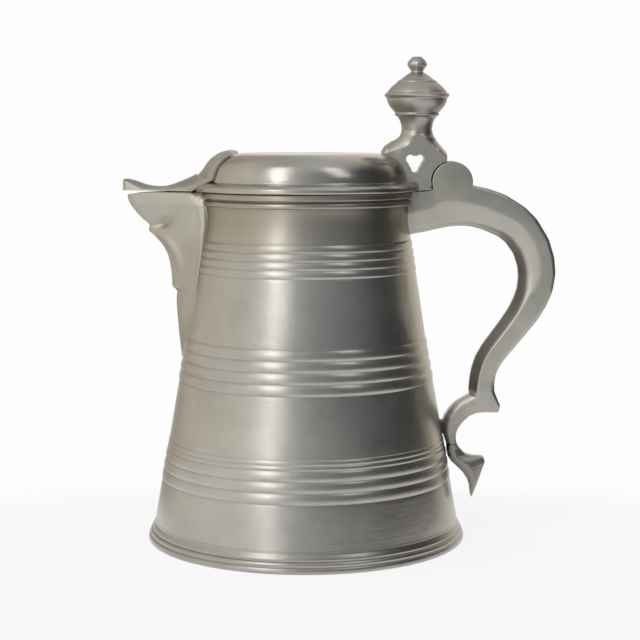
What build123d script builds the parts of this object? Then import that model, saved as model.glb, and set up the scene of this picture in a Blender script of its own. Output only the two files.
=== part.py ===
"""Lidded measuring jug in cast and turned pewter.

A tapered drum on a moulded foot carries a keeled pouring spout at the front and a
scrolled handle at the back. The domed lid turns on a pin between the two ears of the
handle and is lifted by a pierced bracket that also carries the knob.

Frame: millimetres, +Z up, +X towards the handle, -X towards the spout. The origin is
on the axis of the drum, in the plane that the foot stands on.
"""

import os
from math import cos, hypot, pi, radians, sin, sqrt

from build123d import *

# Drum
rim_z = 180.3  # top of the rim
wall = 2.0  # thickness of the cast walls
seat_z = 10.5  # height at which the drum stands on its foot
seat_r = 78.8  # outside radius of the drum on its foot
joint_z = 94.4  # soldered joint of the two shells
joint_r = 63.8  # outside radius at that joint
neck_z = 160.0  # where the taper ends below the rim
neck_r = 53.5  # outside radius there
throat_r = 53.0  # outside radius close under the rim
throat_hollow = 0.35  # how far the throat is drawn in between the two

# Turned ridges round the drum: height of the lowest crest, pitch, count, rise
upper_band_z = 141.5
upper_band_pitch = 4.1
upper_band_count = 4
upper_band_rise = 0.45
middle_band_z = 86.1
middle_band_pitch = 5.55
middle_band_count = 4
middle_band_rise = 0.5
lower_band_z = 34.8
lower_band_pitch = 5.4
lower_band_count = 3
lower_band_rise = 0.42
hairline_z = 49.4
hairline_pitch = 2.5
hairline_count = 2
hairline_rise = 0.22
ridge_fill = 0.86  # share of a pitch that its ridge takes up

# Foot and bottom
foot_flare = 3.8  # how far the foot stands out beyond the drum on it
foot_toe = 3.2  # height of the lowest step of the foot
foot_step = 2.2  # height of each of the two steps above it
foot_set_back = 1.2  # how far each step lies inside the one below
foot_edge = 0.7  # bevel of the standing edge
foot_ledge = 3.2  # width of the ledge that carries the bottom disc
disc_t = 2.2  # thickness of the bottom disc
disc_dish = 1.2  # how far the middle of the disc is raised

# Rim moulding
rim_band_r = 54.8
rim_band_h = 3.4
rim_bead_r = 54.5
rim_bead_h = 2.8
rim_groove = 0.8  # height and depth of the groove between them
rim_seat_r = 51.9  # outside radius of the shell inside the moulding
mouth_r = 50.0  # radius of the mouth

# Spout
spout_half = 19.0  # half the width of the spout on the drum
spout_tip_z = 94.8  # lower end of the spout
spout_heel_z = 107.0  # where the spout reaches its full width
spout_reach = 92.0  # distance of the lip from the axis of the drum
spout_lip_drop = 1.2  # how far the lip lies below the rim
spout_keel_round = 1.8  # rounding along the keel
spout_wall = 2.3
mouth_sill_z = 112.0  # lowest point of the way into the spout
tooth_z = 163.0  # upper end of the large tooth of the keel
tooth_x = 80.5
tooth_h = 3.2
cusp_z = 133.0  # upper end of the small tooth of the keel
cusp_x = 69.3
cusp_h = 2.8
cusp_depth = 2.3
tip_stand = 0.9  # how far the keel stands off the drum at the spout's lower end
tip_share = 0.14  # width of that end, as a share of the full width
seam_stand = 0.7  # how far the edge of the casting stands off the drum
scallop_curve = 2.6  # power by which the middle scallop sweeps out
tooth_stand = 0.4  # how far the large tooth overhangs
sill_half = 5.7  # half the width of the way at its sill
sill_stand = 1.0

# Lid
lid_gap = 0.4  # space between rim and closed lid
flange_r = 58.2
flange_edge = 2.6  # height of the upright edge of the flange
flange_h = 4.4  # height of the flange with its bevel
flange_bevel = 1.4
dome_r = 52.2  # radius of the dome where it meets the flange
dome_round = 14.4  # radius of its shoulder
dome_crown = 0.4  # rise of its top towards the middle
lid_wall = 2.0
lid_hollow_r = 46.6  # radius of the hollow at the flange
ring_r = 49.0  # outside radius of the ring that centres the lid
ring_t = 2.0
ring_h = 5.4

# Lid over the spout
cover_reach = 94.0
cover_nose_half = 3.0  # half its width behind the blunt nose
cover_nose = 4.5  # height of the nose
cover_nose_run = 3.0  # length of the blunt nose
cover_spread = 0.4  # growth of half its width along the beak
cover_half = 22.0  # half its width on the dome
cover_end_x = 34.8  # distance of its upper end from the axis
cover_t = 1.8  # thickness on the dome
cover_saddle_x = 76.0  # lowest place of its ridge
cover_saddle = 2.2  # height of the ridge there
cover_climb = 11.9  # height of the ridge where it meets the leaf
climb_curve = 1.7  # power by which the ridge climbs to the leaf
cover_edge_share = 0.33  # height of the sides, as a share of the ridge's height
nose_edge_share = 0.82  # the same at the nose
leaf_edge_share = 0.52  # the same at the leaf
nose_tip_half = 0.9  # half the width of the nose at its end
nose_fall = 0.4  # fall of the nose to its end
leaf_end_half = 17.6  # half the width of the leaf's upper end
leaf_end_bow = 2.0  # how far the corners of that end lie behind its middle
leaf_lap = 1.0  # how far the leaf covers the foot of the dome at its full width
leaf_hip = 0.6  # width of the step from the leaf to the beak

# Hinge
pin_x = 74.9
pin_lift = 4.8  # height of the pin above the rim
pin_r = 2.0
pin_play = 0.05  # radial play of the pin in the tongue
ear_r = 10.4
hinge_half = 8.5  # half the width over both ears
tongue_half = 4.1
hinge_gap = 0.35  # space on each side of the tongue
relief_gap = 0.7  # space between the ears and the bracket around them

# Bracket and knob
knob_x = 56.9
knob_neck_z = 211.4
knob_neck_r = 8.0
bracket_front_x = 38.4
bracket_back_x = 72.0
bracket_brow_z = 200.4  # height of both ends of the bracket
bracket_chin = 1.2  # blunt end under the front of the bracket
bracket_foot = 0.3  # space between the foot of the bracket and the plinth's joint
bracket_lift = 0.6  # space between the foot of the bracket and the flange's lower edge
heel_drop = 5.0  # height of the bracket's upright back edge
flare_spread = 1.2  # overshoot of the stem's flare, cut back by the bracket's ends
flare_reach = 0.55  # place of the flare's middle, as a share of its reach
flare_rise = 0.42  # height of the flare's middle, as a share of its height
brow_slope = 0.4  # slope of the flare at its end
brow_tilt = 0.6  # the front end of the bracket is higher than its back end by this
piercing_shift = 1.0
piercing_z = 194.9
lobe_r = 2.3  # radius of the two upper lobes of the piercing
lobe_out = 2.5  # distance of each from the middle
lobe_up = 1.8
leg_r = 2.2  # radius of the lower lobe
leg_down = 2.9
piercing_heart_r = 3.5  # circle that joins the three
bulb_r = 15.3
bulb_z = 229.2
bulb_fillet_r = 16.7
bulb_fillet_h = 2.2
bulb_fillet_swell = 0.3
bowl_swell = 1.5  # how far the bowl under the ridge swells beyond a straight line
stem_hollow = 1.3  # how far the stem under the collar is drawn in
collar_z = 219.6
collar_r = 11.4
collar_t = 1.4
cap_swell = 0.8  # how far the cap above the ridge swells beyond a straight line
cap_set_back = 0.5  # how far the cap starts inside the bowl
cap_bead_r = 9.6
cap_bead_h = 7.1  # height of the small bead above the ridge
cap_bead_t = 1.0
cap_top_r = 4.4
button_z = 239.6
button_r = 5.2
button_h = 9.0
button_sides = 8
button_foot_r = 4.2
button_neck_r = 2.9
button_neck_h = 0.9
button_top_r = 2.1
button_wide_at = 0.55  # height of its widest place, as a share of its height

# Handle
tail_half = 5.2  # half its width at the lower end
plinth_half = 9.6
plinth_x = 61.0  # joint between plinth and handle
plinth_low_z = 159.3  # underside of the handle at that joint
plinth_slant = 1.8  # drop of the plinth's underside towards the drum
arch_x = 85.6  # where the back of the arch begins
arch_z = 182.6
arch_inner_x = 77.0  # where the inside of the arch begins
arch_inner_z = 162.3
grip_reach = 128.3  # distance of its back from the axis of the drum
grip_depth = 18.6  # depth of the grip at its back
back_z = 138.4  # height at which the grip reaches furthest back
shank_z = 80.0
shank_depth = 12.9
grip_lean = 0.065  # how far the sections of the S lean, as a share of its height
slope_arch = 11.5  # depth of the sloped side that faces the drum, at the arch
slope_shank = 4.6
slope_scroll = 2.2
grip_inner_share = 0.58  # width of the inner face, as a share of the grip's width
grip_back_share = 0.86  # width of the back, as a share of the grip's width
back_bevel = 1.6  # depth of the bevel beside the back
bevel_share = 0.3  # most of a thin section's depth that one bevel takes up
eye_stand_off = 18.7  # from the wall at half the height of the lower shell to the eye
eye_x = (seat_r + joint_r) / 2 + eye_stand_off  # centre of the open scroll
shank_x = eye_x + 7.6  # back of the narrowest place of the grip
eye_z = 53.7
eye_r = 12.0
arm_root = 9.4  # depth of the scroll's arm at the crotch
arm_end = 5.4  # depth of the arm at the joint with the terminal
crotch_turn = 103.0  # direction of the crotch from the eye, in degrees
joint_turn = 197.0  # direction of the joint from the eye, in degrees
knee_turn = 8.0  # turn from the crotch to the knee of the scroll, and on to its arm
spur_x = eye_x + 10.8  # point above the scroll
spur_z = 69.2
spur_under = 1.0  # how far the heel under the spur lies inside it
strut_z = 57.5
strut_h = 6.4
strut_half = 3.6
lip_turn = 282.0  # direction of the terminal's lip from the eye, in degrees
lip_t = 2.8  # thickness of the lip at its end
lip_share = 0.5  # place of the lip along the terminal
lip_run = 0.05  # part of the terminal that the lip's end takes up
tail_bend_z = 36.2  # height round which the terminal bends
tip_t = 1.2  # thickness of the tip
terminal_tip_x = eye_x - 3.6
terminal_tip_z = 20.8

pin_z = rim_z + pin_lift
lid_z = rim_z + lid_gap
flange_top = lid_z + flange_h
dome_top = flange_top + dome_round
rim_base_z = rim_z - rim_band_h - rim_groove - rim_bead_h
foot_r = seat_r + foot_flare
foot_inner_r = seat_r - wall - foot_ledge
cusp_low = cusp_z - cusp_h
tooth_low = tooth_z - tooth_h
nose_x = cover_reach - cover_nose_run
root_x = dome_r - cover_t


def even(start, end, count):
    """Values spaced evenly from a start to an end, both included."""
    return [start + (end - start) * step / count for step in range(count + 1)]


def bow(start, end, swell):
    """Arc that swells by a distance to the right of the way from its start to its end."""
    run = hypot(end[0] - start[0], end[1] - start[1])
    across = (end[1] - start[1]) / run
    up = (start[0] - end[0]) / run
    middle = ((start[0] + end[0]) / 2 + swell * across, (start[1] + end[1]) / 2 + swell * up)
    ThreePointArc(start, middle, end)


def wall_r(z):
    """Outside radius of the plain drum at a height."""
    if z < joint_z:
        share = (z - seat_z) / (joint_z - seat_z)
        return seat_r + share * (joint_r - seat_r)
    if z < neck_z:
        share = (z - joint_z) / (neck_z - joint_z)
        return joint_r + share * (neck_r - joint_r)
    return neck_r


def crown_at(share, radius, rise):
    """Height of a shallow crown at a share of its radius: a cap whose centre is on the axis."""
    ball = (radius**2 + rise**2) / (2 * rise)
    return sqrt(ball**2 - (share * radius) ** 2) - (ball - rise)


def drum_x(z, y):
    """Distance of the drum's surface from the plane x = 0, at a height and a half width."""
    return sqrt(wall_r(z) ** 2 - y**2)


def band(lowest, pitch, count, rise):
    """The ridges of one band, each as its height, half height and rise."""
    return [(lowest + i * pitch, pitch * ridge_fill / 2, rise) for i in range(count)]


def ribbed_line(z_from, z_to, ridges):
    """The turned outside of the drum, from one height up to another."""
    last = (wall_r(z_from), z_from)
    for z, half, rise in sorted(ridges):
        low = (wall_r(z - half), z - half)
        high = (wall_r(z + half), z + half)
        Line(last, low)
        ThreePointArc(low, (wall_r(z) + rise, z), high)
        last = high
    Line(last, (wall_r(z_to), z_to))


middle_band = band(middle_band_z, middle_band_pitch, middle_band_count, middle_band_rise)
lower_ridges = band(lower_band_z, lower_band_pitch, lower_band_count, lower_band_rise)
lower_ridges += band(hairline_z, hairline_pitch, hairline_count, hairline_rise)
lower_ridges += [ridge for ridge in middle_band if ridge[0] < joint_z]
upper_ridges = band(upper_band_z, upper_band_pitch, upper_band_count, upper_band_rise)
upper_ridges += [ridge for ridge in middle_band if ridge[0] > joint_z]


def lower_outside():
    """Outside of the lower shell, from its seat up to the joint."""
    ribbed_line(seat_z, joint_z, lower_ridges)


def upper_outside():
    """Outside of the upper shell, from the joint up to the rim moulding."""
    ribbed_line(joint_z, neck_z, upper_ridges)
    waist = (min(neck_r, throat_r) - throat_hollow, (neck_z + rim_base_z) / 2)
    ThreePointArc((neck_r, neck_z), waist, (throat_r, rim_base_z))


def rim_outside(start_r):
    """Outside of the rim moulding from a radius under it: bead, groove and band."""
    bead_top = rim_base_z + rim_bead_h
    band_low = rim_z - rim_band_h
    inner = rim_bead_r - rim_bead_h / 2
    Line((start_r, rim_base_z), (inner, rim_base_z))
    ThreePointArc((inner, rim_base_z), (rim_bead_r, rim_base_z + rim_bead_h / 2), (inner, bead_top))
    Line((inner, bead_top), (inner, band_low))
    Line((inner, band_low), (rim_band_r - rim_groove / 2, band_low))
    Line((rim_band_r - rim_groove / 2, band_low), (rim_band_r, band_low + rim_groove / 2))
    Line((rim_band_r, band_low + rim_groove / 2), (rim_band_r, rim_z - rim_groove / 2))
    Line((rim_band_r, rim_z - rim_groove / 2), (rim_band_r - rim_groove / 2, rim_z))


# Solid drum, the form that the spout and the handle are fitted to
with BuildPart() as drum_form:
    with BuildSketch(Plane.XZ):
        with BuildLine():
            lower_outside()
            upper_outside()
            rim_outside(throat_r)
            Line((rim_band_r - rim_groove / 2, rim_z), (0, rim_z))
            Line((0, rim_z), (0, seat_z))
            Line((0, seat_z), (seat_r, seat_z))
        make_face()
    revolve(axis=Axis.Z)
    with BuildSketch(Plane.XY.offset(rim_z)):
        Circle(mouth_r + wall)
    extrude(amount=flange_h)


# Spout: its keel is three scallops with a small and a large tooth between them
def keel_foot(share):
    """Height and distance of the keel in the lowest scallop, which leaves the drum and turns upright."""
    start = wall_r(spout_tip_z) + tip_stand
    end = cusp_x - cusp_depth
    return spout_tip_z + share * (cusp_low - spout_tip_z), start + (end - start) * sin(pi / 2 * share)


def keel_middle(share):
    """Height and distance of the keel in the middle scallop, upright at first, then sweeping out."""
    sweep = tooth_x + tooth_stand - cusp_x
    return cusp_z + share * (tooth_low - cusp_z), cusp_x + sweep * share**scallop_curve


def keel_lip(share):
    """Height and distance of the keel in the top scallop, which turns upright at the lip."""
    return tooth_z + share * (rim_z - tooth_z), tooth_x + (spout_reach - tooth_x) * sin(pi / 2 * share)


def spout_half_at(z):
    """Half the width of the spout on the drum: a rounded lower end, then parallel."""
    share = min(1, (z - spout_tip_z) / (spout_heel_z - spout_tip_z))
    return spout_half * max(tip_share, sqrt(1 - (1 - share) ** 2))


def keel_line(z, x):
    """Level outline of the spout: two cheeks that meet at the keel and lie on the drum with a thick edge."""
    half = spout_half_at(z)
    side = drum_x(min(z, neck_z), half)
    edge = side + seam_stand
    Polyline((wall - side, half), (-edge, half), (-x, 0), (-edge, -half), (wall - side, -half),
             close=True)


def way_line(z, x, half):
    """Level outline of the way through the spout, from inside the drum to its keel."""
    back = mouth_r - 2 * wall
    side = drum_x(z, half)
    Polyline((-back, half), (-side, half), (-x, 0), (-side, -half), (-back, -half), close=True)


def way_at(z, keel_x):
    """Reach and half width of the way at a height, one wall inside the two cheeks."""
    depth = keel_x - drum_x(z, spout_half)
    cheek = hypot(depth, spout_half)
    return keel_x - spout_wall * cheek / spout_half, spout_half - spout_wall * cheek / depth


keel_runs = [
    (False, [keel_foot(share) for share in even(0, 1, 8)]),
    (True, [keel_foot(1), keel_middle(0)]),
    (False, [keel_middle(share) for share in even(0, 1, 6)]),
    (True, [keel_middle(1), keel_lip(0)]),
    (False, [keel_lip(share) for share in even(0, 1, 5)]),
]
way_levels = [keel_middle(share) for share in even(0, 1, 4)] + [keel_lip(share) for share in even(0, 1, 2)]

# Way through the spout, with the opening in the drum behind it
with BuildPart() as channel:
    with BuildSketch(Plane.XY.offset(mouth_sill_z)):
        with BuildLine():
            way_line(mouth_sill_z, wall_r(mouth_sill_z) + sill_stand, sill_half)
        make_face()
    for z, keel_x in way_levels:
        with BuildSketch(Plane.XY.offset(z)):
            with BuildLine():
                way_line(z, *way_at(z, keel_x))
            make_face()
    loft(ruled=True)
    extrude(channel.faces().sort_by(Axis.Z)[-1], amount=wall)

with BuildPart() as spout:
    for straight, levels in keel_runs:
        for z, x in levels:
            with BuildSketch(Plane.XY.offset(z)) as level:
                with BuildLine():
                    keel_line(z, x)
                make_face()
                fillet(level.vertices().sort_by(Axis.X)[0], radius=spout_keel_round)
        loft(ruled=straight)
    add(drum_form.part, mode=Mode.SUBTRACT)
    add(channel.part, mode=Mode.SUBTRACT)
    with BuildSketch(Plane.XZ):
        with BuildLine():
            Polyline((-rim_band_r, rim_z), (-spout_reach - wall, rim_z - spout_lip_drop),
                     (-spout_reach - wall, rim_z + wall), (-rim_band_r, rim_z + wall), close=True)
        make_face()
    extrude(amount=spout_half + wall, both=True, mode=Mode.SUBTRACT)
spout.part.label = "spout"

with BuildPart() as lower_shell:
    with BuildSketch(Plane.XZ):
        with BuildLine():
            lower_outside()
            Polyline((joint_r, joint_z), (joint_r - wall, joint_z), (seat_r - wall, seat_z),
                     (seat_r, seat_z))
        make_face()
    revolve(axis=Axis.Z)
lower_shell.part.label = "lower_shell"

with BuildPart() as upper_shell:
    with BuildSketch(Plane.XZ):
        with BuildLine():
            upper_outside()
            Polyline((throat_r, rim_base_z), (rim_seat_r, rim_base_z), (rim_seat_r, rim_z),
                     (mouth_r, rim_z), (mouth_r, rim_base_z), (neck_r - wall, neck_z),
                     (joint_r - wall, joint_z), (joint_r, joint_z))
        make_face()
    revolve(axis=Axis.Z)
    add(channel.part, mode=Mode.SUBTRACT)
upper_shell.part.label = "upper_shell"

with BuildPart() as rim_ring:
    with BuildSketch(Plane.XZ):
        with BuildLine():
            rim_outside(rim_seat_r)
            Polyline((rim_band_r - rim_groove / 2, rim_z), (rim_seat_r, rim_z), (rim_seat_r, rim_base_z))
        make_face()
    revolve(axis=Axis.Z)
    add(channel.part, mode=Mode.SUBTRACT)
rim_ring.part.label = "rim_ring"

with BuildPart() as foot_ring:
    with BuildSketch(Plane.XZ):
        with BuildLine():
            step_z = foot_toe + foot_step
            bead_z = step_z + foot_step
            step_r = foot_r - foot_set_back
            bead_r = step_r - foot_set_back
            nose = foot_set_back / 2
            ledge_r = seat_r - wall
            Polyline((foot_inner_r, 0), (foot_r - foot_edge, 0), (foot_r, foot_edge),
                     (foot_r - nose, foot_toe), (step_r - nose, foot_toe + nose / 2))
            ThreePointArc((step_r - nose, foot_toe + nose / 2), (step_r, foot_toe + foot_step / 2),
                          (step_r - nose, step_z))
            Line((step_r - nose, step_z), (bead_r - nose, step_z))
            ThreePointArc((bead_r - nose, step_z), (bead_r, step_z + foot_step / 2),
                          (bead_r - nose, bead_z))
            Line((bead_r - nose, bead_z), (seat_r, seat_z))
            Line((seat_r, seat_z), (ledge_r, seat_z))
            Line((ledge_r, seat_z), (ledge_r, seat_z - disc_t))
            Line((ledge_r, seat_z - disc_t), (foot_inner_r, seat_z - disc_t))
            Line((foot_inner_r, seat_z - disc_t), (foot_inner_r, 0))
        make_face()
    revolve(axis=Axis.Z)
foot_ring.part.label = "foot_ring"

with BuildPart() as base_disc:
    with BuildSketch(Plane.XZ):
        with BuildLine():
            disc_r = seat_r - wall
            low = seat_z - disc_t
            Line((0, low + disc_dish), (0, seat_z + disc_dish))
            half_way = crown_at(0.5, foot_inner_r, disc_dish)
            ThreePointArc((0, seat_z + disc_dish), (foot_inner_r / 2, seat_z + half_way),
                          (foot_inner_r, seat_z))
            Line((foot_inner_r, seat_z), (disc_r, seat_z))
            Line((disc_r, seat_z), (disc_r, low))
            Line((disc_r, low), (foot_inner_r, low))
            ThreePointArc((foot_inner_r, low), (foot_inner_r / 2, low + half_way), (0, low + disc_dish))
        make_face()
    revolve(axis=Axis.Z)
base_disc.part.label = "base_disc"


# Lid
def lid_outside():
    """Outside of the lid, from the lower edge of the flange up to the middle of the crown."""
    shoulder_r = dome_r - dome_round
    Line((flange_r, lid_z), (flange_r, lid_z + flange_edge))
    Line((flange_r, lid_z + flange_edge), (flange_r - flange_bevel, flange_top))
    Line((flange_r - flange_bevel, flange_top), (dome_r, flange_top))
    ThreePointArc((dome_r, flange_top),
                  (shoulder_r + dome_round * sqrt(0.5), flange_top + dome_round * sqrt(0.5)),
                  (shoulder_r, dome_top))
    ThreePointArc((shoulder_r, dome_top),
                  (shoulder_r / 2, dome_top + crown_at(0.5, shoulder_r, dome_crown)),
                  (0, dome_top + dome_crown))


with BuildPart() as lid_form:
    with BuildSketch(Plane.XZ):
        with BuildLine():
            lid_outside()
            Polyline((0, dome_top + dome_crown), (0, lid_z), (flange_r, lid_z))
        make_face()
    revolve(axis=Axis.Z)

with BuildPart() as lid_dome:
    with BuildSketch(Plane.XZ):
        with BuildLine():
            inner_round = dome_round - lid_wall
            shoulder_r = dome_r - dome_round
            hollow_top = dome_top - lid_wall
            lid_outside()
            Line((0, dome_top + dome_crown), (0, hollow_top + dome_crown))
            ThreePointArc((0, hollow_top + dome_crown),
                          (shoulder_r / 2, hollow_top + crown_at(0.5, shoulder_r, dome_crown)),
                          (shoulder_r, hollow_top))
            ThreePointArc((shoulder_r, hollow_top),
                          (shoulder_r + inner_round * sqrt(0.5), flange_top + inner_round * sqrt(0.5)),
                          (shoulder_r + inner_round, flange_top))
            Line((shoulder_r + inner_round, flange_top), (lid_hollow_r, flange_top - lid_wall))
            Line((lid_hollow_r, flange_top - lid_wall), (lid_hollow_r, lid_z))
            Line((lid_hollow_r, lid_z), (flange_r, lid_z))
        make_face()
    revolve(axis=Axis.Z)
lid_dome.part.label = "lid_dome"

with BuildPart() as lid_ring:
    with BuildSketch(Plane.XY.offset(lid_z)):
        Circle(ring_r)
        Circle(ring_r - ring_t, mode=Mode.SUBTRACT)
    extrude(amount=-ring_h)
    chamfer(lid_ring.edges().group_by(Axis.Z)[0].sort_by(SortBy.LENGTH)[-1], length=ring_t / 3)
lid_ring.part.label = "lid_ring"


# Lid over the spout: a ridged beak and a leaf that climbs the dome
def beak_at(x):
    """Half width of the beak, height of its ridge and height of its sides, at a distance from the axis."""
    half = cover_nose_half + (nose_x - x) * cover_spread
    if x > cover_saddle_x:
        share = (x - cover_saddle_x) / (nose_x - cover_saddle_x)
        ridge = cover_saddle + (cover_nose - cover_saddle) * share**2 * (3 - 2 * share)
        side = cover_edge_share + (nose_edge_share - cover_edge_share) * share**2
    else:
        share = (cover_saddle_x - x) / (cover_saddle_x - root_x)
        ridge = cover_saddle + (cover_climb - cover_saddle) * share**climb_curve
        side = cover_edge_share + (leaf_edge_share - cover_edge_share) * share**2
    return half, ridge, ridge * side


def roof_line(half, ridge, side):
    """Upright outline across the beak: a low roof on straight sides."""
    Polyline((-half, lid_z), (-half, lid_z + side), (0, lid_z + ridge), (half, lid_z + side),
             (half, lid_z), close=True)


with BuildPart() as cover_leaf:
    skin_round = dome_round + cover_t
    root_half = beak_at(root_x)[0]
    end_x = cover_end_x + leaf_end_bow
    hip_x = root_x - leaf_lap
    full_x = (end_x + hip_x) / 2
    with BuildSketch(Plane.XZ):
        with BuildLine():
            shoulder_r = dome_r - dome_round
            skirt_r = flange_r - flange_bevel
            skin_foot = (shoulder_r + sqrt(skin_round**2 - cover_t**2), flange_top + cover_t)
            skin_top = flange_top + skin_round
            Polyline((0, lid_z), (skirt_r, lid_z), (skirt_r, flange_top + cover_t), skin_foot)
            slant = skin_round * sqrt(0.5)
            ThreePointArc(skin_foot, (shoulder_r + slant, flange_top + slant), (shoulder_r, skin_top))
            ThreePointArc((shoulder_r, skin_top),
                          (shoulder_r / 2, skin_top + crown_at(0.5, shoulder_r, dome_crown)),
                          (0, skin_top + dome_crown))
            Line((0, skin_top + dome_crown), (0, lid_z))
        make_face()
    revolve(axis=Axis.Z)
    with BuildSketch(Plane.XY.offset(lid_z)):
        with BuildLine():
            Polyline((-end_x, -leaf_end_half), (-cover_end_x, 0), (-end_x, leaf_end_half))
            ThreePointArc((-end_x, leaf_end_half), (-full_x, cover_half), (-hip_x, cover_half))
            lap_half = beak_at(flange_r)[0]
            Polyline((-hip_x, cover_half), (-root_x, root_half + leaf_hip), (-flange_r, lap_half),
                     (-flange_r, -lap_half), (-root_x, -root_half - leaf_hip), (-hip_x, -cover_half))
            ThreePointArc((-hip_x, -cover_half), (-full_x, -cover_half), (-end_x, -leaf_end_half))
        make_face()
    extrude(amount=dome_top + cover_t + dome_crown - lid_z, mode=Mode.INTERSECT)

with BuildPart() as spout_cover:
    for x in even(nose_x, root_x, 10):
        with BuildSketch(Plane.YZ.offset(-x)):
            with BuildLine():
                roof_line(*beak_at(x))
            make_face()
    loft(ruled=True)
    for x, half, drop in ((nose_x, cover_nose_half, 0), (cover_reach, nose_tip_half, nose_fall)):
        with BuildSketch(Plane.YZ.offset(-x)):
            with BuildLine():
                roof_line(half, cover_nose - drop, cover_nose * nose_edge_share - drop)
            make_face()
    loft(ruled=True)
    add(cover_leaf.part)
    add(lid_form.part, mode=Mode.SUBTRACT)
spout_cover.part.label = "spout_cover"

# Flared stem of the knob, the form that the top of the bracket is cut from
def flare_line(reach, brow):
    """Profile of the flare beside the knob's axis, out to a reach."""
    wide = flare_spread * reach
    middle = (flare_reach * (knob_neck_r + reach), brow + flare_rise * (knob_neck_z - brow))
    Polyline((knob_neck_r, knob_neck_z), (0, knob_neck_z), (0, lid_z), (wide, lid_z), (wide, brow))
    Spline((knob_neck_r, knob_neck_z), middle, (wide, brow), tangents=((0, -1), (1, -brow_slope)))


with BuildPart() as stem_form:
    for reach, brow, sweep in (
        (knob_x - bracket_front_x, bracket_brow_z, 180),
        (bracket_back_x - knob_x, bracket_brow_z - brow_tilt, -180),
    ):
        with BuildSketch(Plane.YZ.offset(knob_x)):
            with BuildLine():
                flare_line(reach, brow)
            make_face()
        revolve(axis=Axis((knob_x, 0, 0), (0, 0, 1)), revolution_arc=sweep)

with BuildPart() as thumb_bracket:
    with BuildSketch(Plane.XZ):
        with BuildLine():
            chin_x = bracket_front_x + bracket_chin
            Polyline((bracket_front_x, bracket_brow_z), (chin_x, bracket_brow_z - bracket_chin),
                     (dome_r - dome_round + bracket_chin, lid_z), (flange_r, lid_z),
                     (plinth_x + bracket_foot, lid_z + bracket_lift), (pin_x, pin_z),
                     (bracket_back_x, bracket_brow_z - heel_drop), (bracket_back_x, knob_neck_z),
                     (bracket_front_x, knob_neck_z), close=True)
        make_face()
    extrude(amount=hinge_half, both=True)
    add(stem_form.part, mode=Mode.INTERSECT)
    add(lid_form.part, mode=Mode.SUBTRACT)
    for side in (-1, 1):
        with BuildSketch(Plane.XZ.offset(side * tongue_half)):
            with Locations((pin_x, pin_z)):
                Circle(ear_r + relief_gap)
        extrude(amount=side * hinge_half, mode=Mode.SUBTRACT)
    with BuildSketch(Plane.XZ):
        with Locations((pin_x, pin_z)):
            Circle(ear_r - hinge_gap)
    extrude(amount=tongue_half, both=True)
    with BuildSketch(Plane.XZ):
        with Locations((pin_x, pin_z)):
            Circle(pin_r + pin_play)
    extrude(amount=hinge_half, both=True, mode=Mode.SUBTRACT)
    with BuildSketch(Plane.XZ):
        with Locations((knob_x - piercing_shift, piercing_z)):
            Circle(piercing_heart_r)
            with Locations((-lobe_out, lobe_up), (lobe_out, lobe_up)):
                Circle(lobe_r)
            with Locations((0, -leg_down)):
                Circle(leg_r)
    extrude(amount=hinge_half, both=True, mode=Mode.SUBTRACT)
thumb_bracket.part.label = "thumb_bracket"

# Knob, turned about its own upright axis
def knob_plane():
    """Plane of the knob's profile."""
    return Plane(origin=(knob_x, 0, 0), x_dir=(1, 0, 0), z_dir=(0, -1, 0))


with BuildPart() as knob_lower:
    with BuildSketch(knob_plane()):
        with BuildLine():
            stem_top = (collar_r - collar_t / 2, collar_z - collar_t / 2)
            bowl_foot = (collar_r - collar_t / 2, collar_z + collar_t / 2)
            bowl_top = (bulb_r, bulb_z - bulb_fillet_h / 2)
            Line((0, knob_neck_z), (knob_neck_r, knob_neck_z))
            bow((knob_neck_r, knob_neck_z), stem_top, -stem_hollow)
            ThreePointArc(stem_top, (collar_r, collar_z), bowl_foot)
            bow(bowl_foot, bowl_top, bowl_swell)
            bow(bowl_top, (bulb_fillet_r, bulb_z), bulb_fillet_swell)
            Polyline((bulb_fillet_r, bulb_z), (0, bulb_z), (0, knob_neck_z))
        make_face()
    revolve(axis=Axis((knob_x, 0, 0), (0, 0, 1)))
knob_lower.part.label = "knob_lower"

with BuildPart() as knob_upper:
    with BuildSketch(knob_plane()):
        with BuildLine():
            ridge_top = (bulb_r, bulb_z + bulb_fillet_h / 2)
            cap_foot = (bulb_r - cap_set_back, bulb_z + bulb_fillet_h / 2)
            bead_foot = (cap_bead_r - cap_bead_t / 2, bulb_z + cap_bead_h - cap_bead_t / 2)
            bead_top = (cap_bead_r - cap_bead_t / 2, bulb_z + cap_bead_h + cap_bead_t / 2)
            Line((0, bulb_z), (bulb_fillet_r, bulb_z))
            bow((bulb_fillet_r, bulb_z), ridge_top, bulb_fillet_swell)
            Line(ridge_top, cap_foot)
            bow(cap_foot, bead_foot, cap_swell)
            ThreePointArc(bead_foot, (cap_bead_r, bulb_z + cap_bead_h), bead_top)
            bow(bead_top, (cap_top_r, button_z), cap_swell / 2)
            Polyline((cap_top_r, button_z), (0, button_z), (0, bulb_z))
        make_face()
    revolve(axis=Axis((knob_x, 0, 0), (0, 0, 1)))
knob_upper.part.label = "knob_upper"

with BuildPart() as knob_button:
    for height, radius in (
        (0, button_foot_r),
        (button_neck_h, button_neck_r),
        (button_wide_at * button_h, button_r),
        (button_h, button_top_r),
    ):
        with BuildSketch(Plane(origin=(knob_x, 0, button_z + height))):
            RegularPolygon(radius, button_sides)
    loft(ruled=True)
knob_button.part.label = "knob_button"

# Grip: six-sided sections between its inside and its back
taper_z = pin_z - ear_r - hinge_gap


def half_at(z):
    """Half the width of the handle at a height: parallel at the hinge, then narrowing to the tail."""
    share = min(1, (taper_z - z) / (taper_z - terminal_tip_z))
    return hinge_half - max(0, share) * (hinge_half - tail_half)


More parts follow.
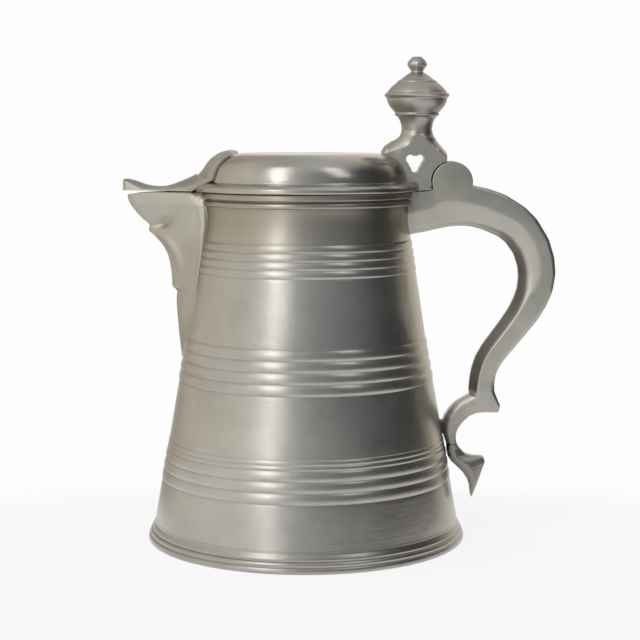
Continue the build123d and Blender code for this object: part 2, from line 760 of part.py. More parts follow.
def section_plane(inner, outer):
    """Plane across the handle, from a point inside to a point on its back."""
    run = hypot(outer[0] - inner[0], outer[1] - inner[1])
    across = (outer[0] - inner[0]) / run
    up = (outer[1] - inner[1]) / run
    return Plane(origin=(inner[0], 0, inner[1]), x_dir=(across, 0, up), z_dir=(-up, 0, across))


def section_line(inner, outer, slope):
    """Outline of a section: narrow inner face, sloped sides, flat sides, bevelled back."""
    depth = hypot(outer[0] - inner[0], outer[1] - inner[1])
    inner_half = half_at(inner[1]) * grip_inner_share
    slope = min(slope, bevel_share * 2 * depth)
    slope_half = half_at(inner[1] + (outer[1] - inner[1]) * slope / depth)
    flat = depth - min(back_bevel, bevel_share * depth)
    flat_half = half_at(inner[1] + (outer[1] - inner[1]) * flat / depth)
    back_half = half_at(outer[1]) * grip_back_share
    side = [(0, inner_half), (slope, slope_half), (flat, flat_half), (depth, back_half)]
    Polyline(side + [(x, -y) for x, y in reversed(side)], close=True)


def arch_at(turn):
    """Inside and back of the arch, at an angle from its top."""
    inner_x = arch_inner_x + (grip_reach - grip_depth - arch_inner_x) * sin(radians(turn))
    inner_z = back_z + (arch_inner_z - back_z) * cos(radians(turn))
    outer_x = arch_x + (grip_reach - arch_x) * sin(radians(turn))
    outer_z = back_z + (arch_z - back_z) * cos(radians(turn))
    return (inner_x, inner_z), (outer_x, outer_z), slope_arch


def limb_at(share):
    """Inside and back of the S between the arch and the shank, at a share of its height."""
    fall = back_z - shank_z
    early = share - grip_lean * sin(pi * share)
    late = share + grip_lean * sin(pi * share)
    shank_in = shank_x - shank_depth
    inner_x = shank_in + (grip_reach - grip_depth - shank_in) * (1 + cos(pi * early)) / 2
    outer_x = shank_x + (grip_reach - shank_x) * (1 + cos(pi * late)) / 2
    slope = slope_arch + share * (slope_shank - slope_arch)
    return (inner_x, back_z - early * fall), (outer_x, back_z - late * fall), slope


def eye_at(turn, radius):
    """Point at a direction and a distance from the eye of the scroll."""
    return eye_x + radius * cos(radians(turn)), eye_z + radius * sin(radians(turn))


def arm_at(turn):
    """Outside and inside of the scroll's arm, at a direction from its eye."""
    share = (turn - crotch_turn) / (joint_turn - crotch_turn)
    depth = arm_root + share * (arm_end - arm_root)
    slope = slope_shank + share * (slope_scroll - slope_shank)
    return eye_at(turn, eye_r + depth), eye_at(turn, eye_r), slope


root = ((plinth_x, plinth_low_z), (plinth_x, rim_z), slope_arch)
knee_at = crotch_turn + knee_turn
arm_from = knee_at + knee_turn
spur = (arm_at(crotch_turn)[0], (spur_x, spur_z), slope_shank)
knee = (arm_at(knee_at)[0], (spur_x - spur_under, eye_z + eye_r), slope_shank)
grip_runs = [
    (True, [root, arch_at(0)]),
    (False, [arch_at(turn) for turn in even(0, 90, 5)]),
    (False, [limb_at(share) for share in even(0, 1, 8)]),
    (True, [limb_at(1), spur, knee, arm_at(arm_from)]),
    (False, [arm_at(turn) for turn in even(arm_from, joint_turn, 5)]),
]

with BuildPart() as handle_grip:
    for straight, sections in grip_runs:
        for inner, outer, slope in sections:
            with BuildSketch(section_plane(inner, outer)):
                with BuildLine():
                    section_line(inner, outer, slope)
                make_face()
        loft(ruled=straight)
    with BuildSketch(Plane.XZ):
        with Locations((pin_x, pin_z)):
            Circle(ear_r)
    extrude(amount=hinge_half, both=True)
    with BuildSketch(Plane.XZ):
        with Locations((pin_x, pin_z)):
            Circle(ear_r + hinge_gap)
    extrude(amount=tongue_half + hinge_gap, both=True, mode=Mode.SUBTRACT)
    with BuildSketch(Plane.XZ):
        with Locations((pin_x, pin_z)):
            Circle(pin_r)
    extrude(amount=hinge_half, both=True, mode=Mode.SUBTRACT)
handle_grip.part.label = "handle_grip"

with BuildPart() as hinge_pin:
    with BuildSketch(Plane.XZ):
        with Locations((pin_x, pin_z)):
            Circle(pin_r)
    extrude(amount=hinge_half, both=True)
hinge_pin.part.label = "hinge_pin"

# Terminal: continues the scroll, ends in a lip at the eye and runs down to a thin tip
seam_x, seam_z = arm_at(joint_turn)[0]


def tail_at(share):
    """Edge of the terminal towards the drum: a double bend from the joint down to the tip."""
    ease = 3 * share**2 - 2 * share**3
    x = seam_x + (terminal_tip_x - seam_x) * ease
    z = seam_z * (1 - share) ** 3 + 3 * tail_bend_z * share * (1 - share) + terminal_tip_z * share**3
    return x, z


lip_x, lip_z = eye_at(lip_turn, eye_r)
lip_low = lip_share + lip_run
head_turns = even(joint_turn, lip_turn, 5)
head = [(tail_at(share), eye_at(turn, eye_r)) for share, turn in zip(even(0, lip_share, 5), head_turns)]
back_x = even(lip_x + lip_t / 3, terminal_tip_x + tip_t, 3)
back_zs = even(lip_z - lip_t, terminal_tip_z, 3)
tail = [(tail_at(share), (x, z)) for share, x, z in zip(even(lip_low, 1, 3), back_x, back_zs)]

with BuildPart() as handle_terminal:
    for straight, sections in ((False, head), (True, [head[-1], tail[0]]), (False, tail)):
        for inner, outer in sections:
            with BuildSketch(section_plane(inner, outer)):
                with BuildLine():
                    section_line(inner, outer, slope_scroll)
                make_face()
        loft(ruled=straight)
handle_terminal.part.label = "handle_terminal"

with BuildPart() as handle_strut:
    with BuildSketch(Plane.XZ):
        with BuildLine():
            low = strut_z - strut_h / 2
            high = strut_z + strut_h / 2
            strut_foot = wall_r(strut_z) - wall
            scroll_back = eye_x - eye_r - arm_end / 2
            Polyline((strut_foot, low), (scroll_back, low), (scroll_back, high), (strut_foot, high),
                     close=True)
        make_face()
    extrude(amount=strut_half, both=True)
    add(drum_form.part, mode=Mode.SUBTRACT)
    add(handle_grip.part, mode=Mode.SUBTRACT)
handle_strut.part.label = "handle_strut"

with BuildPart() as handle_plinth:
    with BuildSketch(Plane.XZ):
        with BuildLine():
            Polyline((neck_r - wall, rim_z), (plinth_x, rim_z), (plinth_x, plinth_low_z),
                     (neck_r - wall, plinth_low_z - plinth_slant), close=True)
        make_face()
    extrude(amount=plinth_half, both=True)
    add(drum_form.part, mode=Mode.SUBTRACT)
handle_plinth.part.label = "handle_plinth"

os.makedirs("parts", exist_ok=True)
for piece in (foot_ring, base_disc, lower_shell, upper_shell, rim_ring, spout, lid_dome,
              lid_ring, spout_cover, thumb_bracket, knob_lower, knob_upper, knob_button,
              handle_plinth, handle_grip, handle_strut, handle_terminal, hinge_pin):
    export_step(piece.part, f"parts/{piece.part.label}.step")
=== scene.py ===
"""Lidded pewter measuring jug: visual pieces, finishes and stage.

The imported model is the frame. The turned walls, the spout, its cover, the grip and the knob are
surfaces worked out here from the same sizes, and the bracket is its solid with worn shoulders.
The bottom disc, the ring under the lid, the strut and the hinge's pin show as they are.
"""

import math

import bmesh
import bpy
import numpy as np
from bpy.props import FloatProperty, FloatVectorProperty, IntProperty, PointerProperty
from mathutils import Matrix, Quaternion, Vector


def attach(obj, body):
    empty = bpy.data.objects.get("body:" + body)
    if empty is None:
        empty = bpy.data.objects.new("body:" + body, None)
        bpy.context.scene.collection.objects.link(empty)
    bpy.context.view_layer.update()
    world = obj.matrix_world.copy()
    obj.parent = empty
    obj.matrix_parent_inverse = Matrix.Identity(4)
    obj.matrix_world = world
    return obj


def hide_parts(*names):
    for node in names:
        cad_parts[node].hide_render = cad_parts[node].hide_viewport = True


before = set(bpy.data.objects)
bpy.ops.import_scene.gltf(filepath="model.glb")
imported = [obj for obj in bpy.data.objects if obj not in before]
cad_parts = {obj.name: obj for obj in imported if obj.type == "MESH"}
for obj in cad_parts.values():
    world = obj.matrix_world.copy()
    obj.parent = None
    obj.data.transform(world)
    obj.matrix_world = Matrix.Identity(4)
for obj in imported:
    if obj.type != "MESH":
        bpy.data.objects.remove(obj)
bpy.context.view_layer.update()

bl_info = {
    "name": "Lidded measuring jug",
    "version": (1, 0, 0),
    "blender": (4, 5, 0),
    "location": "View3D > Sidebar > Jug",
    "description": "Builds the visual pieces, finishes and stage of a lidded pewter jug",
    "category": "Object",
}

# Fixed places of the frame, in metres
RIM_Z = 0.1803  # top of the rim
LID_Z = 0.1807  # underside of the lid
JOINT_Z = 0.0944  # joint of the two shells
SEAT_Z = 0.0105  # top of the foot, where the drum begins
RIM_BASE_Z = 0.1733  # lower edge of the rim moulding
THROAT_Z = 0.160  # top of the cone, where the throat begins
SEAT_R = 0.0788  # outside radii of the drum at these heights
JOINT_R = 0.0638
THROAT_R = 0.0535
RIM_SEAT_R = 0.0519  # outside radius of the upper shell inside the moulding
MOUTH_R = 0.0500  # inside radius of the mouth
SILL_Z = 0.112  # lower end of the way from the drum into the spout
WALL = 0.002  # thickness of the turned walls
PIN = (0.0749, 0.1851)  # axis of the hinge, across and up
KNOB_X = 0.0569  # axis of the knob
HANDLE_HALF = 8.5  # half width of the bracket and of the grip at the hinge, in millimetres


# Sizes and colours
class JugSizes(bpy.types.PropertyGroup):
    """Sizes that give the turned and cast forms their character."""

    ridge_rise: FloatProperty(
        name="Ridge rise", description="Height of the middle ridges over the wall",
        default=0.0005, min=0.0, max=0.003, subtype="DISTANCE", unit="LENGTH")
    groove_depth: FloatProperty(
        name="Groove depth", description="Depth of the line cut between two ridges",
        default=0.00009, min=0.0, max=0.001, subtype="DISTANCE", unit="LENGTH")
    wobble: FloatProperty(
        name="Hand wobble", description="Unevenness of the hand-finished surfaces",
        default=0.00008, min=0.0, max=0.0005, subtype="DISTANCE", unit="LENGTH")
    round_segments: IntProperty(
        name="Round segments", description="Divisions round the drum", default=240, min=64, max=360)


class JugFinish(bpy.types.PropertyGroup):
    """Colours and polish of the metal."""

    turned_color: FloatVectorProperty(
        name="Turned pewter", description="Colour of the turned walls",
        default=(0.50, 0.485, 0.455), size=3, subtype="COLOR", min=0.0, max=1.0)
    cast_color: FloatVectorProperty(
        name="Cast pewter", description="Colour of the cast and filed pieces",
        default=(0.49, 0.476, 0.430), size=3, subtype="COLOR", min=0.0, max=1.0)
    # the tarnish colour also paints the shade in grooves, corners and gaps
    tarnish_and_shade_color: FloatVectorProperty(
        name="Tarnish", description="Colour of the film in grooves and corners",
        default=(0.11, 0.10, 0.088), size=3, subtype="COLOR", min=0.0, max=1.0)
    turned_roughness: FloatProperty(
        name="Turned roughness", description="Roughness of the turned walls",
        default=0.27, min=0.05, max=0.9, subtype="FACTOR")
    cast_roughness: FloatProperty(
        name="Cast roughness", description="Roughness of the cast pieces",
        default=0.34, min=0.05, max=0.9, subtype="FACTOR")


# Mesh helpers
def bell(x, middle, width, power=2):
    """Bell curve: 1 at its middle, 0.37 a width away; a higher power gives it a flatter top."""
    return np.exp(-(((x - middle) / width) ** power))


def rise(x, start, end):
    """Share of the way from a start to an end, held between 0 and 1; the end may be the lower one."""
    return np.clip((x - start) / (end - start), 0, 1)


def xyz(x, y, z):
    """Points from three arrays or numbers that fit one grid."""
    return np.stack(np.broadcast_arrays(x, y, z), -1)


def rounded(corners, limit, steps):
    """Line through corners (across, up, rounding), each rounded by a quadratic curve.

    The line leaves the straight run at the rounding's distance before a corner and joins the
    next run at the same distance after it, and takes up no more than the limit's share of a run.
    """
    p, r = corners[..., :2], corners[..., 2:]
    back, ahead = np.roll(p, 1, -2) - p, np.roll(p, -1, -2) - p
    back_len = np.maximum(np.linalg.norm(back, axis=-1, keepdims=True), 1e-9)
    ahead_len = np.maximum(np.linalg.norm(ahead, axis=-1, keepdims=True), 1e-9)
    a = (p + back / back_len * np.minimum(r, limit * back_len))[..., None, :]
    b = (p + ahead / ahead_len * np.minimum(r, limit * ahead_len))[..., None, :]
    t = np.linspace(0, 1, steps)[:, None]
    line = (1 - t) ** 2 * a + 2 * t * (1 - t) * p[..., None, :] + t**2 * b
    return line.reshape(*p.shape[:-2], -1, 2)


def soften(corners, steps):
    """Rounded line from the first to the last of some corners, given in millimetres, in metres."""
    corners = np.array(corners, float)
    corners[[0, -1], 2] = 0
    line = rounded(corners, 0.49, steps)
    keep = np.r_[True, np.linalg.norm(np.diff(line, axis=0), axis=1) > 1e-4]
    return line[keep] * 0.001


def resample(line, count):
    """Points spaced evenly by length along a line."""
    line = np.asarray(line, float)
    run = np.r_[0, np.cumsum(np.linalg.norm(np.diff(line, axis=0), axis=1))]
    at = np.linspace(0, run[-1], count)
    return np.stack([np.interp(at, run, line[:, k]) for k in range(line.shape[1])], 1)


def flow(points, count, ease=2):
    """Smooth line through given points: even resampling, then neighbours averaged a few times."""
    line = resample(np.asarray(points, float), count)
    for _ in range(ease):
        line[1:-1] = 0.25 * line[:-2] + 0.5 * line[1:-1] + 0.25 * line[2:]
    return line


def grid_faces(rows, columns, close_rows=False, close_columns=False, flip=False):
    """Corner numbers of the quads between neighbouring grid points, as one array."""
    i = np.arange(rows if close_rows else rows - 1)
    j = np.arange(columns if close_columns else columns - 1)
    i, j = np.meshgrid(i, j, indexing="ij")
    i2, j2 = (i + 1) % rows, (j + 1) % columns
    quads = np.stack([i * columns + j, i * columns + j2, i2 * columns + j2, i2 * columns + j], -1)
    quads = quads.reshape(-1, 4)
    return quads[:, ::-1] if flip else quads


def placed(name, data):
    """Object that holds a mesh, a lamp or a camera, linked to the scene."""
    made = bpy.data.objects.new(name, data)
    bpy.context.scene.collection.objects.link(made)
    return made


def new_mesh(name, points, faces):
    """Mesh from whole arrays of points and of faces that all have as many corners."""
    points = np.asarray(points, float).reshape(-1, 3)
    mesh = bpy.data.meshes.new(name)
    mesh.vertices.add(len(points))
    mesh.vertices.foreach_set("co", points.ravel())
    mesh.loops.add(faces.size)
    mesh.loops.foreach_set("vertex_index", faces.ravel().astype(np.int32))
    mesh.polygons.add(len(faces))
    mesh.polygons.foreach_set("loop_start", np.arange(0, faces.size, faces.shape[1], dtype=np.int32))
    mesh.update(calc_edges=True)
    return mesh


def weld(mesh, collapse=False):
    """Merges the doubles of a mesh, drops faces without area when asked, and turns faces outwards."""
    work = bmesh.new()
    work.from_mesh(mesh)
    bmesh.ops.remove_doubles(work, verts=work.verts, dist=2e-6)
    if collapse:
        bmesh.ops.dissolve_degenerate(work, dist=1e-7, edges=work.edges)
    bmesh.ops.recalc_face_normals(work, faces=work.faces)
    work.to_mesh(mesh)
    work.free()


def make_piece(name, points, faces, body, replaces, sharp=38.0, marks_and_shade=None):
    """Mesh piece from whole arrays, on its body; edges sharper than an angle in degrees stay sharp."""
    mesh = new_mesh(name, points, faces)
    if marks_and_shade is not None:
        # the layer holds tarnish and painted shade for each point
        layer = mesh.attributes.new("tarnish", "FLOAT", "POINT")
        layer.data.foreach_set("value", np.asarray(marks_and_shade, float).ravel())
    weld(mesh, collapse=True)
    mesh.shade_smooth()
    mesh.set_sharp_from_angle(angle=math.radians(sharp))
    piece = placed(name, mesh)
    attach(piece, body)
    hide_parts(*replaces)
    return piece


def closed_slab(top, bottom):
    """Points and quads of a solid between two grids of the same size: both skins and four walls."""
    rows, columns = top.shape[:2]
    points = np.concatenate([top.reshape(-1, 3), bottom.reshape(-1, 3)])
    n = rows * columns
    index = np.arange(n).reshape(rows, columns)
    skin = grid_faces(rows, columns)
    parts = [skin, skin[:, ::-1] + n]
    for edge in (index[0], index[-1][::-1], index[:, 0][::-1], index[:, -1]):
        parts.append(np.stack([edge[:-1], edge[1:], edge[1:] + n, edge[:-1] + n], 1))
    return points, np.concatenate(parts)


def hand_made(points, amount):
    """Low slow waves added along the distance from the upright axis, as hand finishing leaves them."""
    x, y, z = points[..., 0], points[..., 1], points[..., 2]
    turn = np.arctan2(y, x)
    wave = np.sin(3 * turn + 40 * z) + 0.7 * np.sin(5 * turn - 90 * z + 1.3)
    wave = wave + 0.5 * np.sin(8 * turn + 150 * z + 2.1)
    reach = np.maximum(np.hypot(x, y), 1e-4)
    scale = 1 + amount * wave * np.minimum(reach / 0.05, 1) / reach
    return xyz(x * scale, y * scale, z)


def turned_points(line, segments, axis_x=0.0, gap=None):
    """Points (radius, height) carried round an upright axis, from one side of a gap to the other."""
    share = np.linspace(0, 1, segments + 1)[None, :]
    half = np.zeros((len(line), 1)) if gap is None else np.asarray(gap)[:, None]
    turn = half + share * (2 * np.pi - 2 * half)
    r, z = line[:, :1], line[:, 1:]
    return xyz(axis_x - r * np.cos(turn), r * np.sin(turn), z)


def turned_piece(name, line, body, replaces, segments, axis_x=0.0, closed=True, wobble=0.0, tarnish=None):
    """Closed surface of revolution from a line; an open line starts and ends on the axis."""
    points = turned_points(line, segments, axis_x)
    if wobble:
        points = hand_made(points, wobble)
    marks_and_shade = None if tarnish is None else np.repeat(np.asarray(tarnish)[:, None], segments + 1, 1)
    faces = grid_faces(len(line), segments + 1, close_rows=closed)
    return make_piece(name, points, faces, body, replaces, marks_and_shade=marks_and_shade)


# Walls of the drum
def plain_radius(z):
    """Outside radius of the drum without its ridges: two cones and a slightly waisted throat."""
    cone = np.interp(z, [SEAT_Z, JOINT_Z, THROAT_Z, 0.1800], [SEAT_R, JOINT_R, THROAT_R, 0.0530])
    return cone - 0.0005 * np.sin(np.pi * rise(z, THROAT_Z, RIM_BASE_Z))


def ridge_crests():
    """Height, half height and rise of every ridge, in metres, from the lowest up."""
    lower = [(34.8 + 5.4 * i, 2.62, 0.42) for i in range(3)]
    fine = [(49.4 + 2.5 * i, 1.18, 0.2) for i in range(2)]
    middle = [(86.1 + 5.55 * i, 2.70, 0.5) for i in range(4)]
    upper = [(141.5 + 4.1 * i, 1.98, 0.45) for i in range(4)]
    return np.array(lower + fine + middle + upper) * 0.001


def ridged_radius(z, sizes):
    """Outside radius with its worn ridges, and the film and painted shade in the lines between them.

    Each ridge is a low arc, and the shallow lines where the arcs meet hold tarnish and painted shade.
    """
    z = np.asarray(z, float)
    crests = ridge_crests()
    share = (z[:, None] - crests[:, 0]) / crests[:, 1]
    scale = sizes.ridge_rise / 0.0005
    bump = crests[:, 2] * scale * np.clip(1 - share**2, 0, 1) ** 0.9
    line = bell(np.abs(share), 1.02, 0.20).max(1)
    # the second value darkens the lines between the ridges: tarnish and painted shade
    return plain_radius(z) + bump.max(1) - sizes.groove_depth * line, 0.45 * line


def wall_heights(low, high):
    """Heights of the rows of a wall: close together over each ridge, wide apart on the plain."""
    crests = ridge_crests()
    crests = crests[(crests[:, 0] > low) & (crests[:, 0] < high)]
    spread = np.linspace(-1.35, 1.35, 23)
    near = (crests[:, 0][:, None] + crests[:, 1][:, None] * spread[None, :]).ravel()
    heights = np.unique(np.round(np.r_[np.linspace(low, high, 36), near], 6))
    heights = heights[(heights >= low) & (heights <= high)]
    return heights[np.r_[True, np.diff(heights) > 4e-5]]


def way_half_width(z):
    """Half width of the way from the drum into the spout, at a height; none below its sill."""
    z = np.asarray(z)
    half = np.interp(z, [SILL_Z, 0.116, 0.133, THROAT_Z, RIM_Z], [0.0045, 0.0085, 0.0153, 0.0158, 0.0162])
    return np.where(z < SILL_Z, 0.0, half)


def shell_piece(name, heights, outer, inner, replaces, sizes, tarnish):
    """Wall with a way into the spout: outer and inner rows at the same heights.

    It is closed at both ends and along the way. Below the sill the rows are whole circles.
    """
    gap = np.arcsin(way_half_width(heights) / outer)
    out = turned_points(np.stack([outer, heights], 1), sizes.round_segments, gap=gap)
    ins = turned_points(np.stack([inner, heights], 1), sizes.round_segments, gap=gap)
    out = hand_made(out, sizes.wobble)
    points, faces = closed_slab(out, ins)
    rows, columns = out.shape[:2]
    n = rows * columns
    # the walls along the way exist only where it is open
    wall = (faces % columns == 0).all(1) | (faces % columns == columns - 1).all(1)
    row = (faces % n) // columns
    faces = faces[~(wall & (gap[row] == 0).all(1))]
    marks_and_shade = np.concatenate([np.repeat(tarnish[:, None], columns, 1).ravel(), np.full(n, 0.25)])
    return make_piece(name, points, faces, "jug", replaces, marks_and_shade=marks_and_shade)


def wall_pieces(sizes):
    """Lower and upper shell of the drum, the moulding of the rim and the foot."""
    low = wall_heights(SEAT_Z, JOINT_Z)
    outer, dark = ridged_radius(low, sizes)
    inner = plain_radius(low) - WALL
    lower = shell_piece("drum_lower_wall", low, outer, inner, ("lower_shell",), sizes, dark)
    # the upper shell steps in under the moulding, and a painted shadow of the bead runs as a dark line
    # along its foot
    high = np.r_[wall_heights(JOINT_Z, RIM_BASE_Z), RIM_BASE_Z + 1e-5, 0.1770, RIM_Z]
    outer, dark = ridged_radius(high, sizes)
    outer = np.where(high > RIM_BASE_Z + 5e-6, RIM_SEAT_R, outer)
    dark = dark + 1.3 * bell(high, 0.1726, 0.0006)
    inner = np.interp(high, [JOINT_Z, THROAT_Z, RIM_BASE_Z], [JOINT_R - WALL, THROAT_R - WALL, MOUTH_R])
    upper = shell_piece("drum_upper_wall", high, outer, inner, ("upper_shell",), sizes, dark)
    seat, base, top = RIM_SEAT_R * 1000 + 0.02, RIM_BASE_Z * 1000, RIM_Z * 1000
    moulding = soften([(seat, base, 0), (53.2, base, 0.1), (54.3, 173.6, 0.5), (54.5, 174.7, 0.9),
                       (54.2, 175.9, 0.6), (53.3, 176.2, 0.1), (53.1, 176.6, 0.1), (54.0, 176.9, 0.2),
                       (54.8, 177.3, 0.4), (54.8, 179.8, 0.5), (54.3, top, 0.3), (seat, top, 0)], 5)
    heights = moulding[:, 1]
    gap = np.arcsin(way_half_width(heights) / moulding[:, 0])
    points = turned_points(moulding, sizes.round_segments, gap=gap)
    faces = grid_faces(len(moulding), sizes.round_segments + 1, close_rows=True)
    # painted shade in the groove between the moulding's band and its bead
    groove = np.repeat(0.35 * bell(heights, 0.1764, 0.0003)[:, None], sizes.round_segments + 1, 1)
    rim = make_piece("rim_moulding", points, faces, "jug", ("rim_ring",), marks_and_shade=groove)
    foot = soften([(73.6, 0, 0.4), (82.1, 0, 0.5), (82.5, 0.9, 0.6), (82.2, 2.7, 0.9), (81.3, 3.2, 0.3),
                   (81.6, 4.4, 0.9), (80.9, 5.5, 0.6), (80.1, 5.8, 0.3), (80.3, 6.8, 0.8),
                   (79.6, 8.1, 0.8), (79.0, 9.0, 0.6), (78.8, 10.5, 0.2), (76.8, 10.5, 0),
                   (76.8, 8.3, 0), (73.6, 8.3, 0)], 6)
    # painted shade: the whole foot a little darker, and darker still in its two grooves
    lines = 0.5 * (bell(foot[:, 1], 0.0057, 0.0004) + bell(foot[:, 1], 0.0032, 0.0003))
    base = turned_piece("foot_moulding", foot, "jug", ("foot_ring",), sizes.round_segments,
                        wobble=0.4 * sizes.wobble, tarnish=0.28 + lines)
    return [lower, upper, rim, base]


# Spout
def keel_of(z):
    """Distance of the spout's keel from the drum's axis: three scallops with two teeth between them."""
    line = flow([(94.8, 64.6), (107, 65.9), (117, 66.7), (124, 67.1), (128.6, 66.7)], 40)
    cusp = np.array([(129.6, 67.4), (130.6, 68.6), (131.8, 69.2), (133.2, 69.3)])
    second = flow([(133.4, 69.2), (138.4, 69.5), (143.6, 70.3), (147.7, 71.3), (150.9, 72.9), (154, 75.0),
                   (157.1, 77.9), (159.4, 80.4)], 60)
    tooth = np.array([(160.0, 81.0), (161.2, 80.9), (162.6, 80.5), (163.4, 80.8)])
    third = flow([(163.8, 81.4), (166.4, 84.4), (169.4, 87.3), (172.5, 89.5), (175, 90.8), (177.7, 91.6),
                  (179.1, 91.7)], 50)
    line = np.concatenate([line, cusp, second, tooth, third]) * 0.001
    return np.interp(z, line[:, 0], line[:, 1])


def spout_half(z):
    """Half width of the spout on the drum: a pointed foot, then parallel, drawn in at the rim."""
    foot = np.clip((z - 0.0945) / 0.0125, 0, 1)
    half = 0.019 * np.sqrt(np.clip(1 - (1 - foot) ** 2.2, 0, 1))
    return half - 0.0022 * np.clip((z - 0.1740) / 0.0063, 0, 1)


def past_corner(reach, up):
    """Distance past the slanted line beside the rim where the cheek turns to the drum, in millimetres."""
    return (58.4 - reach) * 0.80 + (up - 180.3) * 0.60


def spout_skin(z, s, offset=0.0):
    """Cheek of the spout: from the keel (s = 0) to the seam (s = 1), rounded over the keel.

    Between the two the skin swells along the keel and beside the seam, and is hollowed
    behind the large tooth.
    """
    z, s = np.meshgrid(z, s, indexing="ij")
    half = spout_half(z) - offset
    seat = plain_radius(z) - 0.0003
    seam_x = np.sqrt(np.maximum(seat**2 - half**2, 1e-8))
    keel = keel_of(z) - 1.6 * offset
    bend = 0.055
    share = (np.sqrt(s**2 + bend**2) - bend) / (math.sqrt(1 + bend**2) - bend)
    x = keel - (keel - seam_x) * share
    y = half * s
    reach, up, beside = x * 1000, z * 1000, (keel - x) * 1000
    swell = 1.5 * bell(beside, 5.0, 2.6) * bell(up, 150.0, 9.0, 4)
    hollow = -2.5 * bell(reach, 72.5, 4.2) * bell(up - 0.45 * (72.0 - reach), 165.5, 3.4)
    bead = 0.9 * bell(reach, 67.4, 1.6) * bell(up, 131.6, 1.9)
    lobe = 0.3 * bell(beside, 3.0, 2.6) * bell(up, 172.0, 5.0, 4)
    edge = 0.28 * bell(s, 0.89, 0.035) * rise(up, 174, 170)
    # the corner beside the rim turns away towards the drum over a rounded fold
    fold = 0.7
    corner = -0.32 * fold * np.log1p(np.exp(np.clip(past_corner(reach, up) / fold, -20, 20)))
    fade = rise(s, 0, 0.12) * (offset == 0)
    push = 0.001 * (swell + hollow + bead + lobe + edge + corner) * fade
    return xyz(-x - 0.41 * push, -(y + 0.91 * push), z)


def both_cheeks(near):
    """The near cheek and its mirror image as one skin that runs from seam to seam."""
    return np.concatenate([near[:, ::-1] * np.array([1, -1, 1]), near[:, 1:]], 1)


def spout_piece():
    """Both cheeks as one skin, its inner skin, and the cut lip."""
    z = np.unique(np.r_[np.linspace(0.0946, 0.1800, 150), np.linspace(0.1285, 0.1340, 24),
                        np.linspace(0.1590, 0.1645, 24)])
    s = np.r_[np.linspace(0, 0.2, 14)[:-1], np.linspace(0.2, 0.86, 26)[:-1], np.linspace(0.86, 1, 18)]
    skin = both_cheeks(spout_skin(z, s))
    inner = both_cheeks(spout_skin(z, s, offset=0.0022))
    # below the sill the casting is solid: its inner skin lies in the drum's wall
    deep = rise(z, 0.113, 0.109)[:, None]
    wall_x = -np.sqrt(np.maximum((plain_radius(skin[..., 2]) - 0.0012) ** 2 - skin[..., 1] ** 2, 1e-8))
    inner[..., 0] = inner[..., 0] * (1 - deep) + wall_x * deep
    inner[..., 0] = np.where(np.abs(inner[..., 1]) > 0.9 * spout_half(inner[..., 2]), wall_x, inner[..., 0])
    # the lip slopes down a little towards its tip
    for grid in (skin, inner):
        drop = 0.001 * np.interp(-grid[..., 0], [0.062, 0.070, 0.078, 0.085, 0.088, 0.092],
                                 [0.0, 0.05, 0.15, 0.45, 0.9, 1.4])
        grid[..., 2] -= drop * rise(grid[..., 2], 0.170, 0.180)
    points, faces = closed_slab(skin, inner)
    # film: behind the line at the rim's corner, painted shade of the gap along the seam, and thinly along
    # the keel
    reach, side, up = -1000 * skin[..., 0], 1000 * np.abs(skin[..., 1]), 1000 * skin[..., 2]
    patchy = 0.5 + 0.5 * np.sin(2.1 * reach + 1.7 * up) * np.sin(1.3 * up - 0.9 * reach)
    film_and_shade = 1.1 * bell(past_corner(reach, up), 0.8, 0.8) * patchy
    across = np.r_[s[::-1], s[1:]][None, :]
    # painted shade of the gap where the seam meets the drum
    film_and_shade = np.maximum(film_and_shade, 1.3 * rise(across, 0.935, 0.955) * rise(up, 178, 173))
    film_and_shade = np.maximum(film_and_shade, 0.4 * rise(side, 0.9, 0))
    marks_and_shade = np.concatenate([film_and_shade.ravel(), np.full(film_and_shade.size, 0.4)])
    return make_piece("spout_casting", points, faces, "jug", ("spout",), sharp=50,
                      marks_and_shade=marks_and_shade)


# Lid: centre and radius of its shoulder's quarter round, and how far the crown rises within it,
# in millimetres
SHOULDER_X = 37.8
SHOULDER_Z = 185.1
SHOULDER_R = 14.4
CROWN_RISE = 0.4


def lid_line(offset=0.0):
    """Meridian of the lid's top, from the flange to the crown's middle, pushed out by an offset.

    The crown is a shallow arc of a ball, whose radius follows from its half width and its rise.
    """
    turn = np.linspace(0, np.pi / 2, 34)
    radius = SHOULDER_R + offset
    shoulder = np.stack([SHOULDER_X + radius * np.cos(turn), SHOULDER_Z + radius * np.sin(turn)], 1)
    crown_r = np.linspace(SHOULDER_X, 0, 24)[1:]
    ball = (SHOULDER_X**2 + CROWN_RISE**2) / (2 * CROWN_RISE)
    top = SHOULDER_Z + radius + np.sqrt(ball**2 - crown_r**2) - (ball - CROWN_RISE)
    return np.concatenate([shoulder, np.stack([crown_r, top], 1)]) * 0.001


def lid_piece(sizes):
    """Domed lid: stepped flange, quarter-round shoulder and shallow crown, with its hollow inside."""
    flange = soften([(46.6, 180.7, 0), (57.9, 180.7, 0.3), (58.2, 181.2, 0.3), (58.2, 182.9, 0.4),
                     (57.3, 183.6, 0.2), (56.9, 184.0, 0.2), (54.6, 184.9, 0.6), (52.4, 185.3, 0.3),
                     (52.15, 185.9, 0)], 5)
    hollow = lid_line(-1000 * WALL)[::-1]
    step = soften([(50.2, 185.1, 0), (46.6, 183.1, 0.4), (46.6, 180.7, 0)], 4)
    line = np.concatenate([flange, lid_line()[1:], hollow, step[:-1]])
    return turned_piece("lid_shell", line, "lid", ("lid_dome",), sizes.round_segments,
                        wobble=0.5 * sizes.wobble)


# Cover: share of its half width that the top takes up; the side face takes up the rest
BROW = 0.84


def across_cover():
    """Row of places across the cover: distance from its middle, side, and shares of top and side face."""
    v = np.linspace(-1, 1, 61)[None, :]
    a = np.abs(v)
    return a, np.sign(v), rise(a, 0, BROW), rise(a, BROW, 1)


